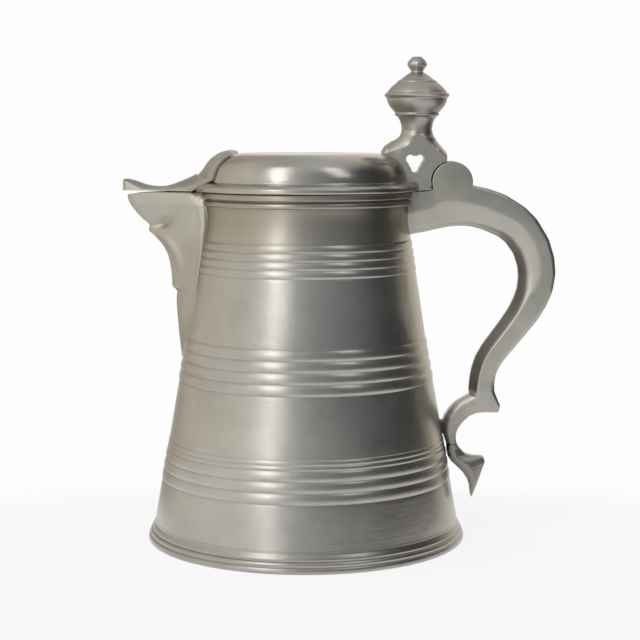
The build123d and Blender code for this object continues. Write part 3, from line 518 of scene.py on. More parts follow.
def cover_beak():
    """Top and underside of the cover's beak, from its tip back over the spout."""
    a, side, inner, rim = across_cover()
    # station along x, ridge height, height of the upper edge of the side face, half widths
    table = np.array([
        (94.0, 185.8, 185.2, 0.5, 0.3), (93.6, 186.3, 185.8, 1.3, 0.9), (92.8, 186.6, 185.6, 2.5, 2.1),
        (91.0, 186.6, 184.7, 3.2, 2.7), (88.5, 186.0, 183.2, 4.1, 3.7), (86.0, 185.3, 182.0, 5.0, 4.7),
        (84.4, 184.7, 181.4, 5.6, 5.4), (82.0, 183.8, 181.5, 6.6, 6.2), (79.0, 183.2, 181.5, 7.8, 7.2),
        (75.5, 182.9, 181.6, 9.2, 8.4), (72.0, 183.0, 181.7, 10.6, 9.7), (68.0, 184.0, 181.9, 12.2, 11.2),
        (64.0, 185.5, 182.4, 13.8, 12.6), (60.0, 187.2, 183.2, 15.6, 14.2),
        (57.5, 188.4, 184.0, 17.2, 15.6)])
    x, ridge, brim, half, shelf = (0.001 * flow(table, 110, 1)).T[..., None]
    y = np.where(a < BROW, shelf * inner, shelf + (half - shelf) * rim) * side
    z = np.where(a < BROW, ridge - (ridge - brim) * (0.25 * inner + 0.75 * inner**1.6),
                 brim + (LID_Z - brim) * rim)
    return xyz(-x, y, z), xyz(-x, y * 0.98, LID_Z)


def cover_leaf():
    """Top and underside of the leaf that lies on the dome, from the flange up.

    Its rows follow the dome's meridian by arc length, and its thickness is laid off along the
    dome's normal: a ridge that sinks into the leaf, a shallow gutter, and a raised edge with
    its bevel. The underside lies a little inside the dome.
    """
    a, side, inner, rim = across_cover()
    w = np.linspace(0, 1, 46)[:, None]
    spread = 0.001 * np.interp(w, [0, 0.12, 0.3, 0.7, 0.93, 1], [22.0, 26.0, 26.4, 25.2, 23.8, 22.6])
    y = spread * side * np.where(a < BROW, 0.86 * inner, 0.86 + 0.14 * rim)
    dome_r, dome_z = lid_line().T
    run = np.r_[0, np.cumsum(np.hypot(np.diff(dome_r), np.diff(dome_z)))]
    end_r = np.hypot(0.0348 + 0.002 * (np.abs(y) / 0.02), y)
    along = w * np.interp(-end_r, -dome_r, run)
    base_r, base_z = np.interp(along, run, dome_r), np.interp(along, run, dome_z)
    out_r = np.interp(along, run, np.gradient(dome_z, run))
    out_z = np.interp(along, run, -np.gradient(dome_r, run))
    climb = np.degrees(along / (0.001 * SHOULDER_R))
    crest = np.interp(climb, [0, 11, 15.5, 23, 32, 55, 82, 95], [4.2, 3.7, 2.9, 2.0, 1.6, 1.7, 1.84, 1.6])
    plain = 1.7
    thick = plain - 0.65 * np.sin(np.pi * rise(a, 0.25, 0.8)) + 0.45 * rise(a, 0.7, BROW)
    thick = thick + (crest - plain) * rise(a, 0.55, 0) ** 1.5
    thick = 0.001 * (thick - 1.6 * rim) - 0.0008 * rise(w, 0.94, 1) ** 2
    skins = []
    for lift in (thick, -0.0006):
        r, z = base_r + lift * out_r, base_z + lift * out_z
        skins.append(xyz(-np.sqrt(r**2 - y**2), y, z))
    return skins


def cover_piece():
    """Cover of the spout: a ridged beak that runs up into a leaf lying on the dome."""
    beak_top, beak_low = cover_beak()
    leaf_top, leaf_low = cover_leaf()
    a = across_cover()[0]
    # between them some rows lean from the beak's end into the leaf's foot
    foot = 5
    mix = np.linspace(0, 1, 14)[1:, None, None]
    ease = mix**2 * (3 - 2 * mix)
    foot_top = beak_top[-1][None] * (1 - ease) + leaf_top[foot][None] * ease
    foot_top[..., 2] += 0.0004 * np.sin(np.pi * mix[..., 0]) * (1 - a)
    foot_low = beak_low[-1][None] * (1 - mix) + leaf_low[foot][None] * mix
    top = np.concatenate([beak_top, foot_top[:-1], leaf_top[foot:]])
    low = np.concatenate([beak_low, foot_low[:-1], leaf_low[foot:]])
    points, faces = closed_slab(top, low)
    # tarnish and painted shade along the ridge of the beak, a painted shadow along the leaf's edge on the
    # dome, and painted shade on the line inside its border
    out = np.arange(len(top))[:, None] / len(beak_top)
    film_and_shade = 0.6 * rise(a, 0.72, 0.52) * rise(out, 1.15, 0.95)
    film_and_shade = np.maximum(film_and_shade, 1.6 * rise(a, 0.955, 0.985) * rise(out, 0.95, 1.05))
    film_and_shade = np.maximum(film_and_shade, 0.7 * bell(a, 0.66, 0.07) * rise(out, 1.0, 1.1))
    marks_and_shade = np.concatenate([film_and_shade.ravel(), np.full(film_and_shade.size, 0.5)])
    return make_piece("spout_lid", points, faces, "lid", ("spout_cover",), sharp=32,
                      marks_and_shade=marks_and_shade)


# Knob
def knob_pieces():
    """Turned knob: lower cup up to the raised fillet, upper half above it, and the faceted bud."""
    lower = soften([(0, 211.0, 0), (7.7, 211.0, 0), (7.8, 212.4, 1.2), (8.3, 215.4, 2.4), (9.7, 218.0, 1.2),
                    (11.0, 218.8, 0.4), (11.5, 219.5, 0.5), (11.1, 220.3, 0.4), (11.8, 221.0, 0.4),
                    (14.0, 223.4, 1.6), (15.2, 226.0, 1.2), (15.5, 227.8, 0.4), (16.3, 228.3, 0.5),
                    (16.7, 229.2, 0)], 5)
    upper = soften([(16.7, 229.2, 0), (16.2, 230.1, 0.5), (15.3, 230.4, 0.25), (15.0, 231.1, 0.4),
                    (13.6, 232.9, 1.4), (10.7, 235.4, 0.5), (10.2, 235.7, 0.2), (10.1, 236.2, 0.3),
                    (9.4, 236.6, 0.2), (8.8, 236.8, 0.3), (6.3, 238.7, 0.8), (4.5, 240.0, 0.4),
                    (0, 240.3, 0)], 5)
    made = []
    for name, line, node in (("knob_cup", lower, "knob_lower"), ("knob_cap", upper, "knob_upper")):
        line = np.concatenate([[(0, line[0, 1])], line, [(0, line[-1, 1])]])
        made.append(turned_piece(name, line, "lid", (node,), 96, axis_x=KNOB_X, closed=False))
    bud = soften([(0, 240.0, 0), (4.4, 240.0, 0.3), (3.0, 240.9, 0.6), (3.2, 241.6, 0.3), (5.2, 244.4, 0.8),
                  (4.6, 246.2, 0.6), (2.5, 248.3, 0.4), (2.0, 248.6, 0.3), (0, 248.6, 0)], 5)
    # eight facets, worn about a third of the way back to the round
    sector = np.pi / 4
    turn = np.linspace(0, 2 * np.pi, 97)
    flat = 0.35 + 0.65 * np.cos(sector / 2) / np.cos((turn % sector) - sector / 2)
    r = bud[:, :1] * flat
    points = xyz(KNOB_X - r * np.cos(turn), r * np.sin(turn), bud[:, 1:])
    made.append(make_piece("knob_bud", points, grid_faces(len(bud), len(turn)), "lid",
                           ("knob_button",), sharp=24))
    return made


# Grip
# each station, in millimetres: inner x, inner z, outer x, outer z, half width, end of the slope,
# end of the inner bevel, depth of the outer bevel (all from its own edge), and the half width at
# the back as a share
PLINTH_STATIONS = np.array([
    (51.6, 157.4, 51.6, 180.3, 9.5, 11.5, 1.2, 0.5, 0.94),
    (53.0, 157.8, 53.0, 180.3, 9.1, 11.5, 1.2, 0.5, 0.94),
    (55.0, 158.2, 55.0, 180.3, 8.7, 11.5, 1.3, 0.5, 0.94),
    (58.0, 158.8, 58.0, 180.45, 8.52, 11.5, 1.3, 0.5, 0.94),
    (61.0, 159.3, 61.0, 180.6, 8.5, 11.5, 1.4, 0.5, 0.94),
])
GRIP_STATIONS = np.array([
    (61.0, 159.3, 61.0, 180.6, 8.5, 11.5, 1.4, 0.5, 0.94),
    (64.5, 160.1, 64.7, 181.0, 8.5, 12.0, 1.5, 0.5, 0.94),
    (67.5, 160.8, 67.6, 184.5, 8.5, 14.0, 1.6, 0.8, 0.94),
    (70.7, 161.5, 71.0, 188.6, 8.5, 13.8, 1.7, 0.8, 0.94),
    (74.2, 162.1, 74.9, 190.2, 8.5, 13.4, 1.8, 0.8, 0.92),
    (77.8, 162.4, 79.0, 188.4, 8.5, 12.8, 1.9, 0.9, 0.90),
    (80.8, 162.4, 83.0, 184.4, 8.5, 12.2, 2.0, 1.0, 0.88),
    (83.4, 162.3, 87.0, 182.8, 8.5, 11.7, 2.1, 1.0, 0.86),
    (87.0, 161.6, 93.8, 181.6, 8.4, 11.5, 2.3, 1.2, 0.86),
    (91.0, 160.5, 102.0, 178.7, 8.4, 11.3, 2.6, 1.4, 0.86),
    (98.7, 157.1, 111.9, 172.5, 8.3, 11.5, 3.4, 1.6, 0.86),
    (102.9, 154.0, 118.2, 166.4, 8.2, 11.7, 4.0, 1.6, 0.86),
    (107.2, 147.9, 124.6, 156.0, 8.0, 11.6, 4.4, 1.6, 0.86),
    (109.3, 141.5, 127.6, 146.5, 7.9, 11.3, 4.6, 1.6, 0.86),
    (109.8, 136.4, 128.4, 138.0, 7.7, 11.0, 4.7, 1.6, 0.86),
    (109.2, 130.0, 127.0, 129.0, 7.6, 8.6, 4.7, 1.6, 0.86),
    (107.4, 124.8, 123.6, 121.0, 7.5, 6.6, 4.6, 1.6, 0.86),
    (104.9, 119.7, 119.0, 113.4, 7.3, 6.0, 4.6, 1.6, 0.86),
    (100.8, 113.4, 113.9, 107.1, 7.1, 5.8, 4.5, 1.6, 0.86),
    (96.2, 107.1, 108.8, 100.8, 7.0, 5.6, 4.4, 1.6, 0.86),
    (91.6, 100.8, 103.6, 94.6, 6.9, 5.4, 4.3, 1.8, 0.84),
    (88.0, 94.5, 100.3, 90.0, 6.8, 5.2, 4.2, 1.9, 0.82),
    (86.0, 88.2, 98.4, 85.6, 6.6, 5.1, 4.1, 2.0, 0.80),
    (85.0, 82.0, 97.7, 81.0, 6.5, 4.9, 3.9, 2.0, 0.80),
    (84.7, 77.5, 97.9, 76.6, 6.5, 4.7, 3.7, 1.8, 0.80),
])
SCROLL_STATIONS = np.array([
    (84.9, 76.0, 98.5, 74.9, 6.4, 4.5, 3.5, 1.6, 0.82),
    (85.2, 74.5, 100.9, 69.2, 6.3, 4.3, 2.8, 1.2, 0.86),
    (83.4, 73.4, 100.0, 65.6, 6.2, 4.4, 2.4, 0.8, 0.88),
    (81.2, 72.2, 93.6, 65.7, 6.2, 4.6, 2.4, 0.8, 0.88),
    (77.8, 70.2, 88.8, 65.4, 6.1, 4.8, 2.4, 0.8, 0.88),
    (74.9, 67.2, 84.9, 63.7, 6.0, 4.6, 2.4, 0.8, 0.88),
    (72.4, 63.4, 81.4, 60.4, 6.0, 4.2, 2.3, 0.8, 0.88),
    (71.0, 59.6, 79.0, 57.0, 5.9, 3.8, 2.2, 0.8, 0.88),
    (71.1, 55.6, 78.1, 54.2, 5.8, 3.2, 2.0, 0.8, 0.88),
    (72.2, 51.8, 78.0, 51.6, 5.8, 2.8, 1.7, 0.9, 0.88),
    (73.3, 48.75, 78.6, 48.75, 5.7, 2.6, 1.4, 1.2, 0.84),
])
TERMINAL_STATIONS = np.array([
    (73.3, 48.65, 78.6, 48.65, 5.7, 2.4, 1.0, 1.6, 0.80),
    (73.4, 45.6, 80.4, 45.9, 5.7, 2.9, 1.0, 3.4, 0.66),
    (74.1, 42.0, 83.2, 43.0, 5.6, 3.4, 1.0, 5.0, 0.56),
    (75.9, 39.2, 87.0, 41.9, 5.6, 3.8, 1.0, 6.6, 0.52),
    (78.6, 36.6, 92.7, 41.5, 5.5, 4.0, 1.0, 9.4, 0.50),
    (80.6, 34.7, 93.5, 39.0, 5.5, 4.0, 1.0, 8.2, 0.56),
    (82.2, 33.0, 92.4, 36.2, 5.4, 3.8, 1.0, 5.4, 0.62),
    (84.2, 30.0, 90.8, 31.4, 5.4, 3.2, 0.9, 2.6, 0.62),
    (85.3, 27.0, 89.3, 27.2, 5.3, 2.0, 0.6, 1.4, 0.62),
    (85.8, 23.6, 87.9, 23.6, 5.2, 1.0, 0.3, 0.7, 0.66),
    (86.2, 21.2, 86.7, 21.0, 5.2, 0.2, 0.05, 0.1, 0.7),
])
SLOPE_FALL = 0.23  # fall of the shallow slope, as a share of its run
SCROLL_JOINT_Z = 0.0487  # joint across the scroll; a gap of 0.1 mm is left between the castings
# radius and half width of the hinge's ears, and of the slot between them, in millimetres
EAR_R, EAR_HALF = 10.4, 8.53
SLOT_R, SLOT_HALF = 10.75, 4.45


def swept_section(stations, count, ease, inner_share=0.22):
    """Eight-sided section carried between the inner and the outer edge of the grip.

    Across the section the side rises from a narrow inner face over a steep bevel, then over a
    shallow slope to the flat, and a bevel leads down to the back. The corners are softened by
    a quadratic curve.
    """
    st = flow(stations, count, ease)
    inner, outer, half, slope, bite, back, back_share = (
        st[:, 0:2], st[:, 2:4], st[:, 4], st[:, 5], st[:, 6], st[:, 7], st[:, 8])
    depth = np.linalg.norm(outer - inner, axis=1)
    back = np.minimum(back, 0.7 * depth)
    slope = np.minimum(slope, 0.92 * (depth - back))
    bite = np.minimum(bite, 0.8 * slope)
    zero = np.zeros_like(depth)
    # corners of one half section: place across (0 at the inner edge), half thickness, rounding
    corners = np.stack([
        np.stack([zero, zero, zero], 1),
        np.stack([zero, half * inner_share, zero + 0.5], 1),
        np.stack([bite, half - SLOPE_FALL * (slope - bite), np.minimum(2.4, 0.45 * bite)], 1),
        np.stack([slope, half, np.minimum(1.1, 0.3 * slope)], 1),
        np.stack([depth - back, half, np.minimum(0.5, 0.3 * back)], 1),
        np.stack([depth, half * back_share, zero + 0.5], 1),
        np.stack([depth, zero, zero], 1)], 1)
    half_line = rounded(corners, 0.45, 5)[:, 4:-4]
    across, thick = half_line[..., 0], half_line[..., 1]
    way = (outer - inner) / depth[:, None]
    place = inner[:, None, :] + across[..., None] * way[:, None, :]
    near = xyz(place[..., 0], -thick, place[..., 1])
    far = near[:, ::-1] * np.array([1, -1, 1])
    return np.concatenate([near, far[:, 1:-1]], 1) * 0.001


def capped_sweep(ring):
    """Points and quads of a closed ring of points carried along, with both ends closed by their middle."""
    rows, columns = ring.shape[:2]
    first = np.repeat(ring[0].mean(0)[None, None], columns, 1)
    last = np.repeat(ring[-1].mean(0)[None, None], columns, 1)
    grid = np.concatenate([first, ring, last])
    return grid, grid_faces(rows + 2, columns, close_columns=True)


def upright_disc(radius, half, rounding):
    """Disc about the hinge's axis: its rounded outline (radius, y) carried round the pin."""
    line = soften([(0, -half, 0), (radius, -half, rounding), (radius, half, rounding), (0, half, 0)], 5)
    turn = np.linspace(0, 2 * np.pi, 97)
    r, y = line[:, :1], line[:, 1:]
    points = xyz(PIN[0] + r * np.cos(turn), y, PIN[1] + r * np.sin(turn))
    return points, grid_faces(len(line), len(turn))


def cut(piece, name, solid, operation, sharp=24.0):
    """Shapes a piece by an exact union, difference or intersection with a solid of points and faces."""
    mesh = new_mesh(name, *solid)
    weld(mesh)
    tool = placed(name, mesh)
    step = piece.modifiers.new("cut", "BOOLEAN")
    step.operation, step.solver, step.object = operation, "EXACT", tool
    shape = bpy.data.meshes.new_from_object(piece.evaluated_get(bpy.context.evaluated_depsgraph_get()))
    piece.modifiers.clear()
    piece.data = shape
    bpy.data.objects.remove(tool)
    shape.shade_smooth()
    shape.set_sharp_from_angle(angle=math.radians(sharp))


def grip_film_and_shade(points, joint_z):
    """Film and painted shade on a casting of the grip.

    A thin dark line lies in the joint across the scroll, and a coat of tarnish and painted shade
    begins 70 mm up and is full below that joint.
    """
    points = points.reshape(-1, 3)
    line = 0.9 * bell(points[:, 2], joint_z, 0.0003) * (points[:, 0] < 0.09)
    return line + 0.8 * rise(points[:, 2], 0.070, 0.049)


def grip_pieces():
    """Grip with its two ears down to the joint across the scroll, the terminal below it, and the plinth."""
    upper = swept_section(GRIP_STATIONS, 180, 3)
    scroll = swept_section(SCROLL_STATIONS, 80, 1, 0.68)
    whole, faces = capped_sweep(np.concatenate([upper, scroll]))
    grip = make_piece("grip_casting", whole, faces, "jug", ("handle_grip",), sharp=40,
                      marks_and_shade=grip_film_and_shade(whole, SCROLL_JOINT_Z + 0.00005))
    cut(grip, "ear_tool", upright_disc(EAR_R, EAR_HALF, 0.5), "UNION")
    cut(grip, "slot_tool", upright_disc(SLOT_R, SLOT_HALF, 0.0), "DIFFERENCE")
    tail, faces = capped_sweep(swept_section(TERMINAL_STATIONS, 90, 1))
    end = make_piece("grip_terminal", tail, faces, "jug", ("handle_terminal",), sharp=40,
                     marks_and_shade=grip_film_and_shade(tail, SCROLL_JOINT_Z - 0.00005))
    root, faces = capped_sweep(swept_section(PLINTH_STATIONS, 40, 2))
    crust = 0.35 * rise(root[..., 0], 0.0585, 0.0525)
    plinth = make_piece("grip_plinth", root, faces, "jug", ("handle_plinth",), sharp=40,
                        marks_and_shade=crust)
    return [grip, end, plinth]


# Bracket
def eased(at, places, values, width):
    """Values between given places, averaged over a width so that their corners are rounded."""
    return sum(np.interp(at + step, places, values) for step in np.linspace(-width, width, 11)) / 11


def roof_height(x, y):
    """Height of the bracket's top at a place, in metres.

    It is the flare of the knob's stem, by the distance from the stem's axis, less a drop towards
    both flat sides: the drop grows with a power of the distance from the middle and brings the
    roof to its edge line at the flat. The last 0.8 mm is a worn edge. The stem itself stands
    through it.
    """
    run, side = (x - KNOB_X) * 1000, np.abs(y) * 1000

    def flare(reach):
        """Height of the flare at a distance from the stem, on its left or its right side."""
        left = eased(reach, [7.5, 8.1, 12.2, 16.8, 18.3, 22], [213.0, 209.4, 206.3, 203.3, 200.5, 197], 0.6)
        right = eased(reach, [7.5, 8.8, 9.9, 12.5, 15.1, 19], [213.0, 209.4, 206.3, 203.3, 200.2, 197], 0.6)
        return left + (right - left) * (0.5 + 0.5 * np.tanh(run / 2.5))

    edge = eased(run, [-22, -15.6, -11.4, -6.5, -4.5, -3.2, -2.2, 3.0, 4.2, 5.6, 7.3, 9.7, 12.2, 14.2, 19],
                 [198.4, 200.6, 201.6, 203.4, 204.8, 206.8, 210.0, 210.0, 207.2, 205.4, 203.9, 202.1, 201.2,
                  199.6, 197], 0.5)
    reach = np.hypot(run, side)
    drop = np.maximum(flare(np.hypot(run, HANDLE_HALF)) - edge, 0)
    roof = flare(reach) - drop * np.clip(side / HANDLE_HALF, 0, 1.2) ** 2.5
    roof = roof - 0.6 * np.clip((side - 7.7) / 0.8, 0, 2) - 0.06
    stem = rise(reach, 8.6, 8.0)
    return 0.001 * (roof + (212.6 - roof) * stem * stem * (3 - 2 * stem))


def bracket_piece():
    """Bracket: its solid, whose shoulders are worn down to sloping bands towards the flat sides."""
    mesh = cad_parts["thumb_bracket"].data.copy()
    weld(mesh)
    piece = placed("bracket_casting", mesh)
    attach(piece, "lid")
    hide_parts("thumb_bracket")
    half = 0.001 * np.r_[np.linspace(0, 7.5, 24), np.linspace(7.7, HANDLE_HALF, 5), 10.5]
    x, y = np.meshgrid(np.linspace(0.034, 0.090, 141), np.r_[-half[:0:-1], half], indexing="ij")
    cut(piece, "roof_tool", closed_slab(xyz(x, y, roof_height(x, y)), xyz(x, y, 0.170)), "INTERSECT", 16.0)
    # solder that fills the wedge over the flange
    x, y = np.meshgrid([0.047, 0.0588], [-0.0084, 0.0084], indexing="ij")
    cut(piece, "pad_tool", closed_slab(xyz(x, y, 0.1863), xyz(x, y, 0.1832)), "UNION", 16.0)
    return piece


# Finishes
def fresh_tree(owner):
    """Empty node tree of a material or a world."""
    owner.use_nodes = True
    owner.node_tree.nodes.clear()
    return owner.node_tree


def node(tree, kind, inputs=None, **settings):
    """One shader node, to the right of the last: settings, and inputs as values or as sockets to link."""
    made = tree.nodes.new("ShaderNode" + kind)
    made.location = (220 * len(tree.nodes), 0)
    for key, value in settings.items():
        setattr(made, key, value)
    for key, value in (inputs or {}).items():
        if isinstance(value, bpy.types.NodeSocket):
            tree.links.new(value, made.inputs[key])
        else:
            made.inputs[key].default_value = value
    return made


def noise(tree, vector, scale, detail, roughness):
    """Value of a noise over a vector."""
    inputs = {"Vector": vector, "Scale": scale, "Detail": detail, "Roughness": roughness}
    return node(tree, "TexNoise", inputs).outputs["Fac"]


def ranged(tree, value, low, high, top=1.0, bottom=0.0, smooth=False):
    """Value carried from between two limits to between a bottom and a top."""
    inputs = {"Value": value, "From Min": low, "From Max": high, "To Min": bottom, "To Max": top}
    kind = "SMOOTHSTEP" if smooth else "LINEAR"
    return node(tree, "MapRange", inputs, interpolation_type=kind).outputs[0]


def worked(tree, operation, first, second, clamp=False):
    """Result of a calculation on two values."""
    inputs = {0: first, 1: second}
    return node(tree, "Math", inputs, operation=operation, use_clamp=clamp).outputs[0]


def mixed(tree, share, first, second):
    """Colour at a share of the way from one colour to another."""
    return node(tree, "MixRGB", {"Fac": share, "Color1": first, "Color2": second}).outputs[0]


def pewter(name, finish, kind, grain, lines, shade=1.0, duller=0.0, centre=(0, 0, 0), marks_and_shade=False,
           throat=0.0):
    """Dull metal: cloudy colour, a film and painted shade in the corners, fine tool lines and soft dents in
    its relief.

    The kind picks the colour, which a shade makes darker, and the roughness, to which duller is
    added. The grain is the fineness of the tool lines along each axis, and lines their strength.
    """
    color = [shade * c for c in getattr(finish, kind + "_color")]
    roughness = getattr(finish, kind + "_roughness") + duller
    material = bpy.data.materials.new(name)
    tree = fresh_tree(material)
    spot = node(tree, "TexCoord").outputs["Object"]
    from_centre = {"Vector": spot, "Location": tuple(-c for c in centre)}
    moved = node(tree, "Mapping", from_centre).outputs[0]
    # clouds of colour and roughness
    cloud = noise(tree, moved, 26.0, 6.0, 0.62)
    tone = node(tree, "ValToRGB", {"Fac": cloud})
    for stop, at, factor in zip(list(tone.color_ramp.elements), (0.30, 0.72), (0.84, 1.10)):
        stop.position = at
        stop.color = (*[min(1, c * factor) for c in color], 1)
    rough = ranged(tree, cloud, 0.0, 1.0, bottom=roughness - 0.05, top=roughness + 0.09)
    # broad warm stains, and a browner, darker tone near the rim
    patch = noise(tree, moved, 11.0, 4.0, 0.55)
    spread = ranged(tree, patch, 0.46, 0.70, top=0.5)
    height = node(tree, "SeparateXYZ", {0: spot}).outputs["Z"]
    browner = ranged(tree, height, 0.138, 0.172, top=throat, smooth=True)
    warm = worked(tree, "ADD", spread, browner, clamp=True)
    brown = (color[0] * 0.76, color[1] * 0.70, color[2] * 0.62, 1)
    stain = mixed(tree, warm, tone.outputs[0], brown)
    # film: small pits, and the tarnish and painted shade that a piece brings along
    speck = noise(tree, moved, 190.0, 3.0, 0.6)
    amount = ranged(tree, speck, 0.64, 0.80, top=0.10)
    if marks_and_shade:
        groove = node(tree, "Attribute", attribute_name="tarnish").outputs["Fac"]
        scaled = worked(tree, "MULTIPLY", groove, 0.55)
        amount = worked(tree, "MAXIMUM", scaled, amount)
    film_and_shade = mixed(tree, amount, stain, (*finish.tarnish_and_shade_color, 1))
    # relief: tool lines that follow the turning or the file, and soft dents
    tool = node(tree, "Mapping", {"Vector": moved, "Scale": grain}).outputs[0]
    line = noise(tree, tool, 1.0, 4.0, 0.7)
    dents = noise(tree, moved, 70.0, 2.0, 0.5)
    soft = node(tree, "Bump", {"Height": dents, "Strength": 0.16, "Distance": 0.0012})
    fine = node(tree, "Bump", {"Height": line, "Strength": 0.10 * lines, "Distance": 0.0004,
                               "Normal": soft.outputs[0]})
    skin = node(tree, "BsdfPrincipled", {"Metallic": 1.0, "Base Color": film_and_shade, "Roughness": rough,
                                         "Normal": fine.outputs[0]})
    node(tree, "OutputMaterial", {0: skin.outputs[0]})
    return material


def dress(pieces, material):
    """Gives pieces, or solids of the frame, their finish."""
    for piece in pieces:
        if piece.data.materials:
            for slot in piece.material_slots:
                slot.material = material
        else:
            piece.data.materials.append(material)


# Fineness of the tool lines along each axis: turned, turned and polished, and filed
TURNED = (5.0, 5.0, 900.0)
POLISHED = (260.0, 260.0, 500.0)
FILED = (160.0, 60.0, 160.0)


class JUG_OT_walls(bpy.types.Operator):
    """Drum, rim moulding and foot: turned walls with their ridges"""

    bl_idname = "jug.walls"
    bl_label = "Walls of the drum"

    def execute(self, context):
        sizes, finish = context.scene.jug_sizes, context.scene.jug_finish
        metal = pewter("turned pewter", finish, "turned", TURNED, 1.0, marks_and_shade=True, throat=0.7)
        dress(wall_pieces(sizes), metal)
        inside = pewter("plain pewter", finish, "turned", TURNED, 1.5, shade=0.9, duller=0.1)
        dress([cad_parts[name] for name in ("base_disc", "lid_ring")], inside)
        return {"FINISHED"}


class JUG_OT_spout(bpy.types.Operator):
    """Spout: keeled casting with scalloped front"""

    bl_idname = "jug.spout"
    bl_label = "Spout"

    def execute(self, context):
        finish = context.scene.jug_finish
        metal = pewter("filed pewter of the spout", finish, "cast", FILED, 0.8, marks_and_shade=True)
        dress([spout_piece()], metal)
        return {"FINISHED"}


class JUG_OT_lid(bpy.types.Operator):
    """Lid: domed shell, cover of the spout and pierced bracket"""

    bl_idname = "jug.lid"
    bl_label = "Lid"

    def execute(self, context):
        sizes, finish = context.scene.jug_sizes, context.scene.jug_finish
        shell = pewter("turned pewter of the lid", finish, "turned", POLISHED, 0.6, duller=-0.06)
        cast = pewter("cast pewter of the lid", finish, "cast", FILED, 1.0, marks_and_shade=True)
        dress([lid_piece(sizes)], shell)
        dress([cover_piece(), bracket_piece()], cast)
        return {"FINISHED"}


class JUG_OT_knob(bpy.types.Operator):
    """Knob: turned cup and cap with a faceted bud"""

    bl_idname = "jug.knob"
    bl_label = "Knob"

    def execute(self, context):
        finish = context.scene.jug_finish
        metal = pewter("turned pewter of the knob", finish, "turned", TURNED, 1.2, shade=0.92, duller=0.11,
                       centre=(KNOB_X, 0, 0))
        dress(knob_pieces(), metal)
        return {"FINISHED"}


class JUG_OT_grip(bpy.types.Operator):
    """Grip: swept casting with ears, terminal, strut and plinth"""

    bl_idname = "jug.grip"
    bl_label = "Grip"

    def execute(self, context):
        finish = context.scene.jug_finish
        dress(grip_pieces(), pewter("cast pewter of the grip", finish, "cast", FILED, 1.0, marks_and_shade=True))
        # a dark copy of the cast pewter: tarnish and painted shade on the strut in the hollow between grip
        # and drum, and on the pin in its slot
        dull_and_shaded = pewter("tarnished pewter", finish, "cast", FILED, 1.0, shade=0.22, duller=0.1)
        dress([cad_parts[name] for name in ("handle_strut", "hinge_pin")], dull_and_shaded)
        return {"FINISHED"}


def area_lamp(name, place, aim, width, height, power, color=(1, 1, 1), roll=0.0):
    """Soft box at a place, turned towards a point and leaned over by an angle in degrees."""
    lamp = bpy.data.lights.new(name, "AREA")
    lamp.shape = "RECTANGLE"
    lamp.size, lamp.size_y = width, height
    lamp.energy, lamp.color = power, color
    made = placed(name, lamp)
    made.location = place
    turn = (Vector(aim) - Vector(place)).to_track_quat("-Z", "Y")
    made.rotation_euler = (turn @ Quaternion((0, 0, 1), math.radians(roll))).to_euler()


# Camera: its place, and how far it looks down
VIEW_FROM = (0.0073, -0.862, 0.2145)
VIEW_DOWN = 6.69
GLASS = (1.0, 0.99, 0.965)


class JUG_OT_stage(bpy.types.Operator):
    """Stage: pale floor, soft light and the camera"""

    bl_idname = "jug.stage"
    bl_label = "Stage"

    def execute(self, context):
        scene = context.scene
        camera = bpy.data.cameras.new("view")
        camera.lens, camera.sensor_width = 94.0, 36.0
        camera.clip_end = 50.0
        seat = placed("view", camera)
        seat.location = VIEW_FROM
        seat.rotation_euler = (math.radians(90 - VIEW_DOWN), 0, 0)
        scene.camera = seat
        make_floor()
        area_lamp("window", (-0.70, -0.98, 1.12), (0, 0, 0.15), 0.42, 1.60, 3.5, GLASS, roll=14)
        area_lamp("window foot", (-0.56, -1.05, 0.22), (0, 0, 0.15), 0.20, 0.74, 0.24, GLASS, roll=14)
        area_lamp("high window", (0.62, -0.62, 1.02), (0, 0, 0.19), 0.34, 0.80, 1.00)
        scene.world = make_world()
        scene.view_settings.view_transform = "Standard"
        return {"FINISHED"}


# Brightness of the room by direction, turning left from the camera's side: window, pale wall,
# white backdrop behind the jug, dark doorway on the right
ROOM = ((0.0, (0.45, 0.475, 0.48)), (0.035, (0.59, 0.61, 0.60)), (0.062, (1.00, 1.00, 0.97)),
        (0.090, (1.26, 1.25, 1.21)), (0.13, (0.98, 0.955, 0.88)), (0.18, (0.88, 0.84, 0.76)),
        (0.26, (0.84, 0.80, 0.73)), (0.34, (0.76, 0.70, 0.61)), (0.40, (0.48, 0.45, 0.39)),
        (0.46, (0.56, 0.51, 0.44)), (0.54, (0.86, 0.81, 0.73)), (0.62, (0.82, 0.76, 0.64)),
        (0.66, (0.34, 0.31, 0.27)), (0.69, (0.095, 0.095, 0.09)), (0.76, (0.068, 0.070, 0.072)),
        (0.83, (0.130, 0.140, 0.146)), (0.866, (0.215, 0.228, 0.236)), (0.90, (0.232, 0.250, 0.258)),
        (0.95, (0.335, 0.358, 0.365)), (1.0, (0.45, 0.475, 0.48)))
ROOM_PEAK = 1.5
CEILING = (0.66, 0.66, 0.64)


